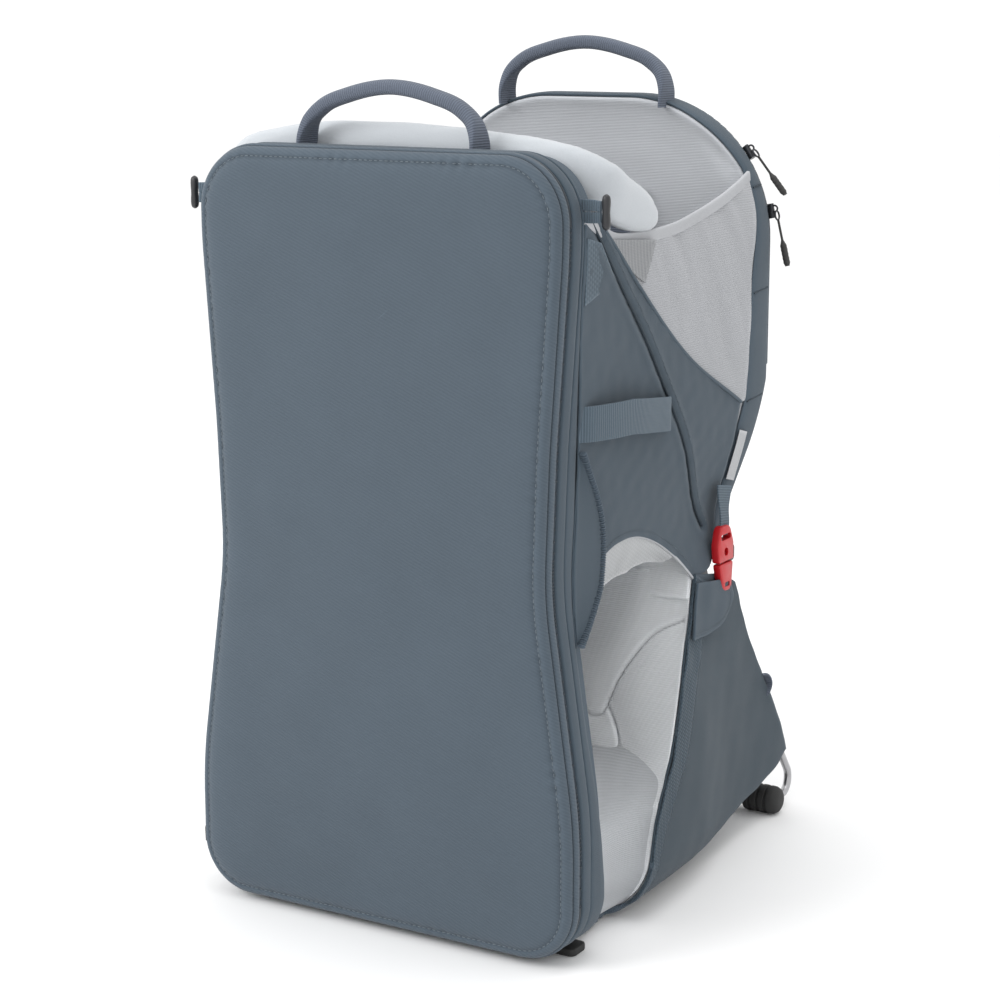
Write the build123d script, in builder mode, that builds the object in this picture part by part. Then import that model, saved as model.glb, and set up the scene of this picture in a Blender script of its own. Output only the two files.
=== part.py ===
from build123d import *
from math import cos, radians, sin
import os

# Framed child carrier backpack, standing on its own kickstand. Millimetres, +Z up.
# X is the width. Y is the depth: the wearer's side, with its zip-on cover, faces -Y, and the
# kickstand stands out towards +Y. Depths below are measured from the seam where the cover's
# gusset meets the side fabric, and the origin is under the middle of the whole pack.

# ---- driving dimensions ------------------------------------------------------------------
SEAM_Y = -196.6          # the seam's place on Y
PANEL_BOTTOM = 5.0       # lower edge of the hourglass front
PANEL_TOP = 617.0
BASE_HALF = 175.0        # half width of the hourglass at its base, waist and top
WAIST_HALF = 149.0
CHEST_HALF = 153.0
TOP_HALF = 163.0
BASE_CORNER_R = 45.0
TOP_CORNER_R = 50.0
SHELL = 2.5              # thickness of the side fabric with its lining
COVER_WALL = 3.0
COVER_FACE_Y = -31.0     # outer face of the cover
COVER_BACK_Y = -17.0     # its open edge, where the zip starts
GUSSET_Y = -13.0
BACK_PANEL_Y = -8.0      # face of the padded back panel, which the harness lies on
SLEEVE_Y = 19.0          # rear edge of the fabric sleeve round the front frame
FRAME_TUBE_R = 8.0
FRAME_INSET = 14.0       # frame tube centre inside the outline
FRAME_Y = 10.0
GAP = 0.4                # air between pieces of different bodies

REAR_TOP = 648.0         # rear wall of the child's cockpit
REAR_HALF = 160.0
REAR_WAIST_HALF = 141.0
REAR_BOTTOM = 262.0
REAR_CORNER_R = 120.0
REAR_BACK_Y = 331.0
REAR_FRONT_Y = 293.0

HOOP_TUBE_R = 6.0
HOOP_X = 132.0
HOOP_Y = 318.0
PIVOT_Y, PIVOT_Z = 60.0, 34.0        # where the rear hoop folds on the front frame
PIVOT_PIN_R = 4.0
ELBOW_Y, ELBOW_Z = 270.0, 243.0      # where the kickstand folds on the rear hoop
ROD_R = 3.5
RUN_FIT = 0.05                       # radial clearance of a pin that turns

FOOT_R = 13.0
FOOT_Y = 388.0
HEEL_Y = 434.0
ROD_TOP_X, ROD_FOOT_X = 141.0, 150.0

BUCKLE_X = 154.6                     # inner face of the red side buckles
TOGGLE_X, TOGGLE_Z = 172.0, 576.0    # pivot of the toggles at the top corners


# ---- planes and outlines -----------------------------------------------------------------
def front_plane(depth):
    """Upright plane across the pack, drawn as (x, z), extruding towards the wearer's side."""
    return Plane(origin=(0, SEAM_Y + depth, 0), x_dir=(1, 0, 0), z_dir=(0, -1, 0))


def side_plane(x):
    """Upright plane along the pack, drawn as (depth, z), extruding towards +X."""
    return Plane(origin=(x, SEAM_Y, 0), x_dir=(0, 1, 0), z_dir=(1, 0, 0))


def symmetric_outline(right_side, radii):
    """Closed rounded outline from its right-hand points and corner radii."""
    points = right_side + [(-x, z) for x, z in reversed(right_side)]
    with BuildSketch() as sketch:
        with BuildLine():
            FilletPolyline(*points, radius=radii + radii[::-1], close=True)
        make_face()
    return sketch.sketch


HOURGLASS = symmetric_outline(
    [(BASE_HALF, PANEL_BOTTOM), (BASE_HALF, 115), (WAIST_HALF, 292), (CHEST_HALF, 400),
     (TOP_HALF, 545), (TOP_HALF, PANEL_TOP)],
    [BASE_CORNER_R, 400, 300, 850, 450, TOP_CORNER_R])

REAR_OUTLINE = symmetric_outline(
    [(REAR_WAIST_HALF, REAR_BOTTOM), (REAR_WAIST_HALF, 300), (REAR_HALF, 385),
     (REAR_HALF, REAR_TOP)],
    [8, 120, 300, REAR_CORNER_R])


def inset_of(outline, inset):
    """The outline drawn in by inset, or out where it is negative."""
    if inset == 0:
        return outline
    return offset(outline, amount=-inset, mode=Mode.PRIVATE)


def slab(outline, inset, front, rear):
    """Plate of the outline from one depth to another."""
    with BuildPart() as plate:
        with BuildSketch(front_plane(rear)):
            add(inset_of(outline, inset))
        extrude(amount=rear - front)
    return plate.part


def band(outline, outer, inner, front, rear):
    """Ring between two insets of the outline."""
    with BuildPart() as ring:
        add(slab(outline, outer, front, rear))
        add(slab(outline, inner, front, rear), mode=Mode.SUBTRACT)
    return ring.part


def clipped(part, prism):
    """What the part and the prism share."""
    with BuildPart() as piece:
        add(part)
        add(prism, mode=Mode.INTERSECT)
    return piece.part


def side_prism(points, x_from, x_to, closed_by_arc=None):
    """Prism along X of an outline given as (depth, z) points.

    closed_by_arc is the middle point of an arc from the last point back to the first.
    """
    with BuildPart() as prism:
        with BuildSketch(side_plane(x_from)):
            with BuildLine():
                if closed_by_arc is None:
                    Polyline(*points, close=True)
                else:
                    Polyline(*points)
                    ThreePointArc(points[-1], closed_by_arc, points[0])
            make_face()
        extrude(amount=x_to - x_from)
    return prism.part


def block(x_range, depth_range, z_range, edge=0.0):
    """Box from its ranges, with all its edges rounded by edge."""
    with BuildPart() as box:
        with BuildSketch(front_plane(depth_range[1])):
            with Locations(((x_range[0] + x_range[1]) / 2, (z_range[0] + z_range[1]) / 2)):
                Rectangle(x_range[1] - x_range[0], z_range[1] - z_range[0])
        extrude(amount=depth_range[1] - depth_range[0])
        if edge:
            fillet(box.edges(), edge)
    return box.part


def cross_pin(radius, x_from, x_to, depth, z):
    """Cylinder along X."""
    with BuildPart() as pin:
        with BuildSketch(side_plane(x_from)):
            with Locations((depth, z)):
                Circle(radius)
        extrude(amount=x_to - x_from)
    return pin.part


def both_sides(part):
    """The part and its mirror image, as two solids."""
    with BuildPart() as pair:
        add(part)
        add(mirror(part, about=Plane.YZ, mode=Mode.PRIVATE))
    return pair.part


def save(part, name):
    part.label = name
    export_step(part, f"parts/{name}.step")


def save_sides(part, name):
    """Write a +X piece as name_right and its mirror image as name_left."""
    save(part, f"{name}_right")
    with BuildPart() as left:
        add(mirror(part, about=Plane.YZ, mode=Mode.PRIVATE))
    save(left.part, f"{name}_left")


os.makedirs("parts", exist_ok=True)


# ---- front frame -------------------------------------------------------------------------
with BuildPart() as front_frame_tube:
    with BuildLine() as frame_path:
        add(front_plane(FRAME_Y).from_local_coords(inset_of(HOURGLASS, FRAME_INSET).wire()))
    with BuildSketch(Plane(origin=frame_path.line @ 0, z_dir=frame_path.line % 0)):
        Circle(FRAME_TUBE_R)
    sweep()
save(front_frame_tube.part, "front_frame_tube")

CROSSBAR_R = 5.0
CROSSBARS = (("frame_crossbar_upper", 480.0, 145.0), ("frame_crossbar_lower", 200.0, 149.0))
for bar_name, bar_z, bar_half in CROSSBARS:
    with BuildPart() as crossbar:
        add(cross_pin(CROSSBAR_R, -bar_half, bar_half, FRAME_Y, bar_z))
        add(front_frame_tube.part, mode=Mode.SUBTRACT)
    save(crossbar.part.solids().sort_by(lambda s: s.volume)[-1], bar_name)

BRACKET_X = (108.0, 124.0)
with BuildPart() as pivot_bracket:
    add(block(BRACKET_X, (0.3, 72.0), (24.9, 47.0)))
    add(front_frame_tube.part, mode=Mode.SUBTRACT)
    add(cross_pin(PIVOT_PIN_R, *BRACKET_X, PIVOT_Y, PIVOT_Z), mode=Mode.SUBTRACT)
    fillet(pivot_bracket.edges().filter_by(Axis.X).group_by(Axis.Y)[-1], 10)
save(both_sides(pivot_bracket.part), "pivot_brackets")

save(both_sides(cross_pin(PIVOT_PIN_R, BRACKET_X[0], 142.0, PIVOT_Y, PIVOT_Z)), "frame_pivot_pins")

save(both_sides(block((118, 160), (-3, 25), (0, PANEL_BOTTOM), 2)), "front_feet")

# ---- fabric round the front frame ----------------------------------------------------------
save(band(HOURGLASS, 0, SHELL, 0, SLEEVE_Y), "frame_sleeve")
save(band(HOURGLASS, 0, COVER_WALL, GUSSET_Y, 0), "cover_gusset")
save(band(HOURGLASS, 0.8, COVER_WALL, COVER_BACK_Y + GAP, GUSSET_Y), "cover_zip_tape")

with BuildPart() as harness_cover:
    add(slab(HOURGLASS, 0, COVER_FACE_Y, COVER_BACK_Y))
    fillet(harness_cover.faces().sort_by(Axis.Y)[0].edges(), 9)
    add(slab(HOURGLASS, COVER_WALL, COVER_FACE_Y + COVER_WALL, COVER_BACK_Y), mode=Mode.SUBTRACT)
save(harness_cover.part, "harness_cover")

ZIP_SLIDER_Z = 62.0
with BuildPart() as cover_zip_slider:
    add(block((-BASE_HALF - 4.6, -BASE_HALF - 0.4), (-19, -11), (ZIP_SLIDER_Z, ZIP_SLIDER_Z + 12), 1))
    add(block((-BASE_HALF - 7.0, -BASE_HALF - 4.4), (-17, -13), (ZIP_SLIDER_Z - 24, ZIP_SLIDER_Z + 8), 1))
save(cover_zip_slider.part, "cover_zip_slider")

# ---- harness behind the cover ---------------------------------------------------------------
save(slab(HOURGLASS, COVER_WALL + 0.5, BACK_PANEL_Y, -1), "back_panel")
save(block((-95, 95), (-15, -8.4), (90, 200), 3), "lumbar_pad")
save(both_sides(block((18, 140), (-24.8, -15.4), (100, 185), 4)), "hip_belt")
save(block((-16, 16), (-26.4, -16), (124, 160), 3), "hip_buckle")
save(block((-100, 100), (-12, -8.4), (480, 560), 1.5), "torso_yoke")
save_sides(block((35, 95), (-22.4, -12.4), (250, 550), 4), "shoulder_strap")
save(block((-92, 92), (-25.2, -22.8), (420, 440), 1), "sternum_strap")

# ---- drool pad: a roll over the top of the front frame, with wings back along the sides ---------
PAD_Z = 556.0
PAD_OUT = 18.0
with BuildPart() as drool_pad:
    add(band(HOURGLASS, -PAD_OUT, 23, 20, 46))
    fillet(drool_pad.edges().filter_by(GeomType.LINE).sort_by(Axis.Z)[-4:], 8)
    add(clipped(band(HOURGLASS, -6, 18, 40, 136), side_prism(
        [(40, PAD_Z), (135, PAD_Z), (122, 582), (40, 612)], -200, 200)))
    add(block((-220, 220), (10, 150), (-30, PAD_Z)), mode=Mode.SUBTRACT)
save(drool_pad.part, "drool_pad")

# ---- carry handles ------------------------------------------------------------------------------
def handle(depth, foot_z, leg_z, top_z, section=(14.0, 8.0)):
    """Folded webbing arch across the pack."""
    with BuildPart() as arch:
        with BuildLine(front_plane(depth)) as path:
            FilletPolyline((-80, foot_z), (-80, leg_z), (-46, top_z), (46, top_z), (80, leg_z),
                           (80, foot_z), radius=[14, 60, 60, 14])
        with BuildSketch(Plane(origin=path.line @ 0, z_dir=path.line % 0, x_dir=(1, 0, 0))):
            Rectangle(*section)
        sweep()
    return arch.part


save(handle(5, PANEL_TOP, 640, 662), "front_handle")
with BuildPart() as rear_handle:
    add(handle(305, REAR_TOP - 22, 671, 692))
    add(slab(REAR_OUTLINE, 0, REAR_FRONT_Y - 5, REAR_BACK_Y + 5), mode=Mode.SUBTRACT)
save(rear_handle.part, "rear_handle")

# ---- toggles at the top corners -------------------------------------------------------------------
TOGGLE_PIN_R = 3.2
with BuildPart() as toggle_loop:
    with BuildSketch(front_plane(4)):
        with Locations((TOGGLE_X, TOGGLE_Z)):
            Circle(7)
        with Locations((TOGGLE_X - 14, TOGGLE_Z)):
            Rectangle(28, 14)
        with Locations((TOGGLE_X, TOGGLE_Z)):
            Circle(TOGGLE_PIN_R + RUN_FIT, mode=Mode.SUBTRACT)
    extrude(amount=8)
    add(slab(HOURGLASS, 0, -30, 30), mode=Mode.SUBTRACT)
save(both_sides(toggle_loop.part), "toggle_loops")

with BuildPart() as shade_toggle:
    with BuildSketch(front_plane(6.5)):
        with Locations((TOGGLE_X, TOGGLE_Z)):
            Circle(TOGGLE_PIN_R)
    extrude(amount=13)
    for cheek_rear in (6.5, -4.5):
        with BuildSketch(front_plane(cheek_rear)):
            with Locations((TOGGLE_X, TOGGLE_Z)):
                Circle(4.5)
            with Locations((TOGGLE_X + 6, TOGGLE_Z)):
                Rectangle(12, 7)
        extrude(amount=2)
    add(block((TOGGLE_X + 8, TOGGLE_X + 14), (-6.5, 6.5), (TOGGLE_Z - 13, TOGGLE_Z + 13), 1.5))
save_sides(shade_toggle.part, "shade_toggle")

# ---- side fabric ------------------------------------------------------------------------------------
LEG_ARCH = (103, 313)
save_sides(clipped(
    band(HOURGLASS, 0, SHELL, SLEEVE_Y, 300),
    side_prism([(SLEEVE_Y, 262), (SLEEVE_Y, 555), (33, 555), (97, 509), (185, 445), (280, 396),
                (273, 374), (258, 300), (238, 264), (210, 258)], 60, 220, closed_by_arc=LEG_ARCH)),
    "upper_side_panel")

save_sides(clipped(
    band(HOURGLASS, 0, SHELL, SLEEVE_Y, 300),
    side_prism([(34, 555), (97, 509.6), (185, 445.6), (280, 396.6), (292.5, 392), (292.5, 582),
                (198, 555), (130, 549)], 60, 220)),
    "mesh_panel")

save_sides(clipped(
    band(HOURGLASS, -2.5, -0.3, 0, 60),
    side_prism([(0, 246), (0, 396)], 60, 220, closed_by_arc=(44, 305))),
    "stretch_pocket")

STRAP_Z = (404.0, 432.0)
with BuildPart() as grab_strap:
    with BuildSketch(Plane(origin=(0, SEAM_Y, STRAP_Z[0]))):
        with BuildLine():
            ThreePointArc((148, 0), (171, 76), (148, 153))
            Line((148, 153), (148, 147))
            ThreePointArc((148, 147), (168.5, 76), (148, 6))
            Line((148, 6), (148, 0))
        make_face()
    extrude(amount=STRAP_Z[1] - STRAP_Z[0])
    add(slab(HOURGLASS, 0, -10, 170), mode=Mode.SUBTRACT)
save_sides(grab_strap.part, "grab_strap")

# ---- seat --------------------------------------------------------------------------------------------
save(block((-18, 18), (FRAME_Y + CROSSBAR_R, 20), (185, 495), 0.8), "seat_rail")
with BuildPart() as child_seat:
    with BuildSketch(Plane(origin=(0, SEAM_Y, 262))):
        with Locations((0, 85)):
            Rectangle(90, 129)
        with Locations((0, 207)):
            Rectangle(224, 120)
    extrude(amount=28)
    fillet(child_seat.edges().filter_by(Axis.Z), 14)
    fillet(child_seat.faces().sort_by(Axis.Z)[-1].edges(), 6)
save(child_seat.part, "child_seat")

# ---- rear hoop ---------------------------------------------------------------------------------------
ARCH_Z = 635.0
hoop_side = [(HOOP_X, PIVOT_Y + 22, PIVOT_Z + 12.5), (HOOP_X, 150, 85), (HOOP_X, 205, 180),
             (HOOP_X, 235, 255), (HOOP_X, 285, 320), (HOOP_X, HOOP_Y, 420), (HOOP_X, HOOP_Y, ARCH_Z)]
hoop_points = hoop_side + [(-x, y, z) for x, y, z in reversed(hoop_side)]
hoop_radii = [110, 120, 90, 120, 90, 85]
with BuildPart() as rear_hoop_tube:
    with BuildLine(Plane(origin=(0, SEAM_Y, 0))) as hoop_path:
        FilletPolyline(*hoop_points, radius=hoop_radii + hoop_radii[::-1])
    with BuildSketch(Plane(origin=hoop_path.line @ 0, z_dir=hoop_path.line % 0)):
        Circle(HOOP_TUBE_R)
    sweep()
save(rear_hoop_tube.part, "rear_hoop_tube")

FITTING_X = (124.4, 140.0)
with BuildPart() as hoop_end_fitting:
    with BuildSketch(side_plane(FITTING_X[0])):
        with Locations((PIVOT_Y, PIVOT_Z)):
            Circle(11)
        with Locations(Location((PIVOT_Y + 22, PIVOT_Z + 12.5, 0), (0, 0, 29.5))):
            Rectangle(50, 20)
    extrude(amount=FITTING_X[1] - FITTING_X[0])
    add(cross_pin(PIVOT_PIN_R + RUN_FIT, *FITTING_X, PIVOT_Y, PIVOT_Z), mode=Mode.SUBTRACT)
    add(rear_hoop_tube.part, mode=Mode.SUBTRACT)
save(both_sides(hoop_end_fitting.part), "hoop_end_fittings")

BRACKET_ELBOW_X = (119.0, 132.8)
with BuildPart() as elbow_bracket:
    with BuildSketch(side_plane(BRACKET_ELBOW_X[0])):
        with BuildLine():
            clamp_line = Line((ELBOW_Y, ELBOW_Z), (243, 265.5))
        SlotArc(clamp_line, 20)
    extrude(amount=BRACKET_ELBOW_X[1] - BRACKET_ELBOW_X[0])
    add(cross_pin(ROD_R + RUN_FIT, *BRACKET_ELBOW_X, ELBOW_Y, ELBOW_Z), mode=Mode.SUBTRACT)
    add(rear_hoop_tube.part, mode=Mode.SUBTRACT)
save(both_sides(elbow_bracket.part), "elbow_brackets")

wall_profile = [(285, REAR_BOTTOM - 5), (292, 294), (313, 352), (REAR_BACK_Y, 410), (REAR_BACK_Y, 660),
                (REAR_FRONT_Y, 660), (REAR_FRONT_Y, 400), (284, 372), (272, 300), (268, REAR_BOTTOM - 5)]
hollow_profile = [(y - SHELL, z) for y, z in wall_profile[:5]] + [(200, 660), (200, REAR_BOTTOM - 5)]
with BuildPart() as rear_shell:
    add(clipped(slab(REAR_OUTLINE, 0, 250, 340), side_prism(wall_profile, -200, 200)))
    add(clipped(slab(REAR_OUTLINE, SHELL, 200, 340), side_prism(hollow_profile, -200, 200)),
        mode=Mode.SUBTRACT)
save(rear_shell.part, "rear_shell")

with BuildPart() as rear_liner:
    add(slab(REAR_OUTLINE, 6, 298, 308))
    add(block((-200, 200), (290, 315), (200, 430)), mode=Mode.SUBTRACT)
save(rear_liner.part, "rear_liner")

save(side_prism([(209, 255), (111, 48), (88, 14), (92, 12.5), (115, 46), (213, 255)], -122, 122),
     "footwell_wall")

POCKET_Y = (334.0, 346.0)
POCKET_BOTTOM = 420.0
with BuildPart() as rear_pocket_zip:
    add(band(REAR_OUTLINE, 3, 9, REAR_BACK_Y, POCKET_Y[0]))
    add(block((-200, 200), (320, 350), (200, POCKET_BOTTOM)), mode=Mode.SUBTRACT)
save(rear_pocket_zip.part, "rear_pocket_zip")
with BuildPart() as rear_pocket_panel:
    add(slab(REAR_OUTLINE, 4, *POCKET_Y))
    fillet(rear_pocket_panel.faces().sort_by(Axis.Y)[-1].edges(), 5)
    add(slab(REAR_OUTLINE, 8, POCKET_Y[0], POCKET_Y[1] - 3), mode=Mode.SUBTRACT)
    add(block((-200, 200), (330, 350), (200, POCKET_BOTTOM)), mode=Mode.SUBTRACT)
save(rear_pocket_panel.part, "rear_pocket_panel")

STRAP_X, STRAP_DEPTH = (22, 58), (289, 297.5)
save(both_sides(block(STRAP_X, STRAP_DEPTH, (440, 570), 3)), "child_harness_straps")

CLIP_Z = 428.0
with BuildPart() as child_buckle_socket:
    add(block((-20, 20), (286.5, 297.5), (CLIP_Z - 36, CLIP_Z), 2))
    add(block((-13, 13), (289.5, 294.5), (CLIP_Z - 22, CLIP_Z)), mode=Mode.SUBTRACT)
save(child_buckle_socket.part, "child_buckle_socket")
with BuildPart() as child_buckle_tongue:
    add(block((-19, 19), (287, 297), (CLIP_Z + GAP, CLIP_Z + 10), 1.5))
    add(block((-12, -6), (290.1, 293.9), (CLIP_Z - 20, CLIP_Z + 4)))
    add(block((6, 12), (290.1, 293.9), (CLIP_Z - 20, CLIP_Z + 4)))
save(child_buckle_tongue.part, "child_buckle_tongue")

# ---- red side buckles ----------------------------------------------------------------------------------
SIDE_CLIP_Z = 264.0
with BuildPart() as side_buckle_socket:
    add(block((BUCKLE_X, BUCKLE_X + 8), (240, 270), (SIDE_CLIP_Z - 26, SIDE_CLIP_Z), 1.5))
    add(block((BUCKLE_X + 2, BUCKLE_X + 6), (245, 265), (SIDE_CLIP_Z - 17, SIDE_CLIP_Z)),
        mode=Mode.SUBTRACT)
save_sides(side_buckle_socket.part, "side_buckle_socket")
with BuildPart() as side_buckle_tongue:
    add(block((BUCKLE_X + 0.2, BUCKLE_X + 7.8), (240, 270), (SIDE_CLIP_Z + GAP, SIDE_CLIP_Z + 32), 1.5))
    for prong in ((246, 251), (259, 264)):
        add(block((BUCKLE_X + 2.4, BUCKLE_X + 5.6), prong, (SIDE_CLIP_Z - 15, SIDE_CLIP_Z + 6)))
    add(block((BUCKLE_X - 5, BUCKLE_X + 12), (246, 264), (SIDE_CLIP_Z + 18, SIDE_CLIP_Z + 23)),
        mode=Mode.SUBTRACT)
save_sides(side_buckle_tongue.part, "side_buckle_tongue")

# ---- rear zip: two sliders that run round the corner, each with a pull ---------------------------------
ARC_X, ARC_Z = REAR_HALF - REAR_CORNER_R, REAR_TOP - REAR_CORNER_R
for slider_name, slider_angle in (("upper", 36.9), ("lower", 11.5)):
    zip_frame = Plane(origin=(ARC_X, SEAM_Y + 338.5, ARC_Z), z_dir=(0, -1, 0),
                      x_dir=(cos(radians(slider_angle)), 0, sin(radians(slider_angle))))
    with BuildPart() as rear_zip_slider:
        with BuildSketch(zip_frame):
            with Locations((REAR_CORNER_R + 0.9, 0)):
                Rectangle(7.4, 12)
            with Locations((REAR_CORNER_R + 6, 4)):
                Circle(2)
        extrude(amount=7)
    save(rear_zip_slider.part, f"rear_zip_slider_{slider_name}")
    with BuildPart() as rear_zip_pull:
        with BuildSketch(zip_frame):
            with Locations((REAR_CORNER_R + 6.2, -24)):
                Rectangle(2.4, 46)
        extrude(amount=7)
    save(rear_zip_pull.part, f"rear_zip_pull_{slider_name}")

# ---- kickstand --------------------------------------------------------------------------------------------
rod_side = [(119, ELBOW_Y, ELBOW_Z), (ROD_TOP_X, ELBOW_Y, ELBOW_Z), (ROD_FOOT_X, HEEL_Y, FOOT_R),
            (ROD_FOOT_X, FOOT_Y, FOOT_R)]
rod_points = rod_side + [(-x, y, z) for x, y, z in reversed(rod_side)]
rod_radii = [8, 14, 12]
with BuildPart() as kickstand_rod:
    with BuildLine(Plane(origin=(0, SEAM_Y, 0))) as rod_path:
        FilletPolyline(*rod_points, radius=rod_radii + rod_radii[::-1])
    with BuildSketch(Plane(origin=rod_path.line @ 0, z_dir=rod_path.line % 0)):
        Circle(ROD_R)
    sweep()
save(kickstand_rod.part, "kickstand_rod")

with BuildPart() as kickstand_foot:
    add(cross_pin(FOOT_R, 124, 158, FOOT_Y - 1, FOOT_R))
    fillet(kickstand_foot.edges().sort_by(Axis.X)[-1], 6)
    add(cross_pin(8, 112, 124, FOOT_Y, FOOT_R))
    add(kickstand_rod.part, mode=Mode.SUBTRACT)
save(both_sides(kickstand_foot.part), "kickstand_feet")

leg = Vector(0, HEEL_Y - ELBOW_Y, FOOT_R - ELBOW_Z).normalized()
outward = Vector(0, -leg.Z, leg.Y)
PANEL_FROM, PANEL_TO = 14.0, 222.0
with BuildPart() as storage_rear_panel:
    with BuildSketch(Plane(origin=Vector(0, SEAM_Y + ELBOW_Y, ELBOW_Z) + outward * 4.2,
                           x_dir=(1, 0, 0), z_dir=outward)):
        with Locations((0, (PANEL_FROM + PANEL_TO) / 2)):
            Rectangle(2 * 146, PANEL_TO - PANEL_FROM)
    extrude(amount=SHELL)
save(storage_rear_panel.part, "storage_rear_panel")

save_sides(clipped(
    band(HOURGLASS, 0, SHELL, 80, 420),
    side_prism([(202, 237.4), (113, 46), (97, 20), (220, 20), (307, 36), (359, 42), (384, 49), (402, 62),
                (356, 128), (302, 187), (285, 232), (264, 237.4)], 124, 220)),
    "storage_side")

save(block((-118, 118), (98, 366), (18, 20.5)), "storage_floor")
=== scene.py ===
import math

import bmesh
import bpy
import numpy as np
from mathutils import Matrix, Vector


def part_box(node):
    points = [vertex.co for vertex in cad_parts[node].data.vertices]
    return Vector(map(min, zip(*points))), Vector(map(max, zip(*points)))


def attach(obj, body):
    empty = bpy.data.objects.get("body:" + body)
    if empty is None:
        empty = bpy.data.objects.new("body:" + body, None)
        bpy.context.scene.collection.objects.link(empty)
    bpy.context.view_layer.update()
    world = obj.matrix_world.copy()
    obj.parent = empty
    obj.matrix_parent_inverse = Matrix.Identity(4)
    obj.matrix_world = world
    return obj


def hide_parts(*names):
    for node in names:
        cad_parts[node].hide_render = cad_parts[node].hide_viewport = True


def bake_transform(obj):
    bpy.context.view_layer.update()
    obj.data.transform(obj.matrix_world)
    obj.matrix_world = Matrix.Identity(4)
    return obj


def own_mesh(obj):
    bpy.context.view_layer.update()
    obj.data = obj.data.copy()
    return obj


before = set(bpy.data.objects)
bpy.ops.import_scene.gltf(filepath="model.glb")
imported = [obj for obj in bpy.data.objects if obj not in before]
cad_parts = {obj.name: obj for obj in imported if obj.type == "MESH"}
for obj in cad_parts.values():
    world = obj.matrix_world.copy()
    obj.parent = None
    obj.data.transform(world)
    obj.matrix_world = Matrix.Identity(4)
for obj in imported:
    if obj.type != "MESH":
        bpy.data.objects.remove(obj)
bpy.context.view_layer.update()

# Framed child carrier on its kickstand. Lengths here are millimetres: x across, depth behind the
# seam between the cover's gusset and the side fabric, and z up. at() turns them into
# metres in the row frame.
MM = 0.001
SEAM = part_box("cover_gusset")[1].y
COVER_LOW, COVER_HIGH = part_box("harness_cover")
REAR_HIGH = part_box("rear_shell")[1]
BASE_HALF, PANEL_BOTTOM, PANEL_TOP = COVER_HIGH.x / MM, COVER_LOW.z / MM, COVER_HIGH.z / MM
WAIST_HALF, CHEST_HALF, TOP_HALF = 149.0, 153.0, 163.0
REAR_HALF, REAR_TOP = REAR_HIGH.x / MM, REAR_HIGH.z / MM
REAR_BOTTOM, REAR_WAIST_HALF = 262.0, 141.0
STORAGE_HALF = 153.0
SIDES = ((1, "right"), (-1, "left"))


# ==== shapes ====
def smooth(share):
    """From 0 to 1 with a soft start and end."""
    share = np.clip(share, 0.0, 1.0)
    return share * share * (3.0 - 2.0 * share)


def hill(distance, width):
    """1 at no distance, falling off smoothly over a width."""
    return np.exp(-(distance / width) ** 2)


def unit(vectors):
    return vectors / np.maximum(np.linalg.norm(vectors, axis=-1, keepdims=True), 1e-12)


def at(x, depth, z):
    """Points of the row frame, in metres, from millimetres across, behind the seam and up."""
    x, depth, z = np.broadcast_arrays(x, depth, z)
    return np.stack([x * MM, SEAM + depth * MM, z * MM], axis=-1)


def resample(points, count, closed=False):
    """The line again with evenly spaced points."""
    points = np.asarray(points, float)
    if closed:
        points = np.vstack([points, points[:1]])
    lengths = np.concatenate([[0.0], np.cumsum(np.linalg.norm(np.diff(points, axis=0), axis=1))])
    places = np.linspace(0.0, lengths[-1], count, endpoint=not closed)
    return np.stack([np.interp(places, lengths, axis) for axis in points.T], axis=1)


def curve(points, count):
    """Smooth line through a few points, with evenly spaced samples."""
    points = np.asarray(points, float)
    lengths = np.concatenate([[0.0], np.cumsum(np.linalg.norm(np.diff(points, axis=0), axis=1))])
    slopes = np.gradient(points, lengths, axis=0)
    place = np.linspace(0.0, lengths[-1], 4 * count)
    k = np.clip(np.searchsorted(lengths, place, side="right") - 1, 0, len(points) - 2)
    run = (lengths[k + 1] - lengths[k])[:, None]
    s = (place - lengths[k])[:, None] / run
    line = ((2 * s**3 - 3 * s**2 + 1) * points[k] + (s**3 - 2 * s**2 + s) * run * slopes[k]
            + (3 * s**2 - 2 * s**3) * points[k + 1] + (s**3 - s**2) * run * slopes[k + 1])
    return resample(line, count)


def rounded(corners, radii, count):
    """Closed outline with its corners rounded to the radii, and its outward normals."""
    corners = np.asarray(corners, float)
    line = []
    for i, radius in enumerate(radii):
        corner, before, after = corners[i], corners[i - 1], corners[(i + 1) % len(corners)]
        if radius == 0:
            line.append(corner)
            continue
        back, ahead = unit(before - corner), unit(after - corner)
        half = math.acos(np.clip(back @ ahead, -1, 1)) / 2
        centre = corner + unit(back + ahead) * radius / math.sin(half)
        start = corner + back * radius / math.tan(half) - centre
        end = corner + ahead * radius / math.tan(half) - centre
        swing = math.acos(np.clip(unit(start) @ unit(end), -1, 1))
        for s in np.linspace(0, 1, 24):
            line.append(centre + (start * math.sin((1 - s) * swing) + end * math.sin(s * swing))
                        / math.sin(swing))
    outline = resample(line, count, closed=True)
    along = unit(np.roll(outline, -1, axis=0) - np.roll(outline, 1, axis=0))
    return outline, np.stack([along[:, 1], -along[:, 0]], axis=1)


def symmetric(right, radii, count):
    """Outline from its right-hand corners upwards, starting at the middle of its bottom."""
    low, high = right[0][1], right[-1][1]
    left = [(-x, z) for x, z in reversed(right)]
    return rounded([(0, low)] + right + [(0, high)] + left,
                   [0] + radii + [0] + radii[::-1], count)


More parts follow.
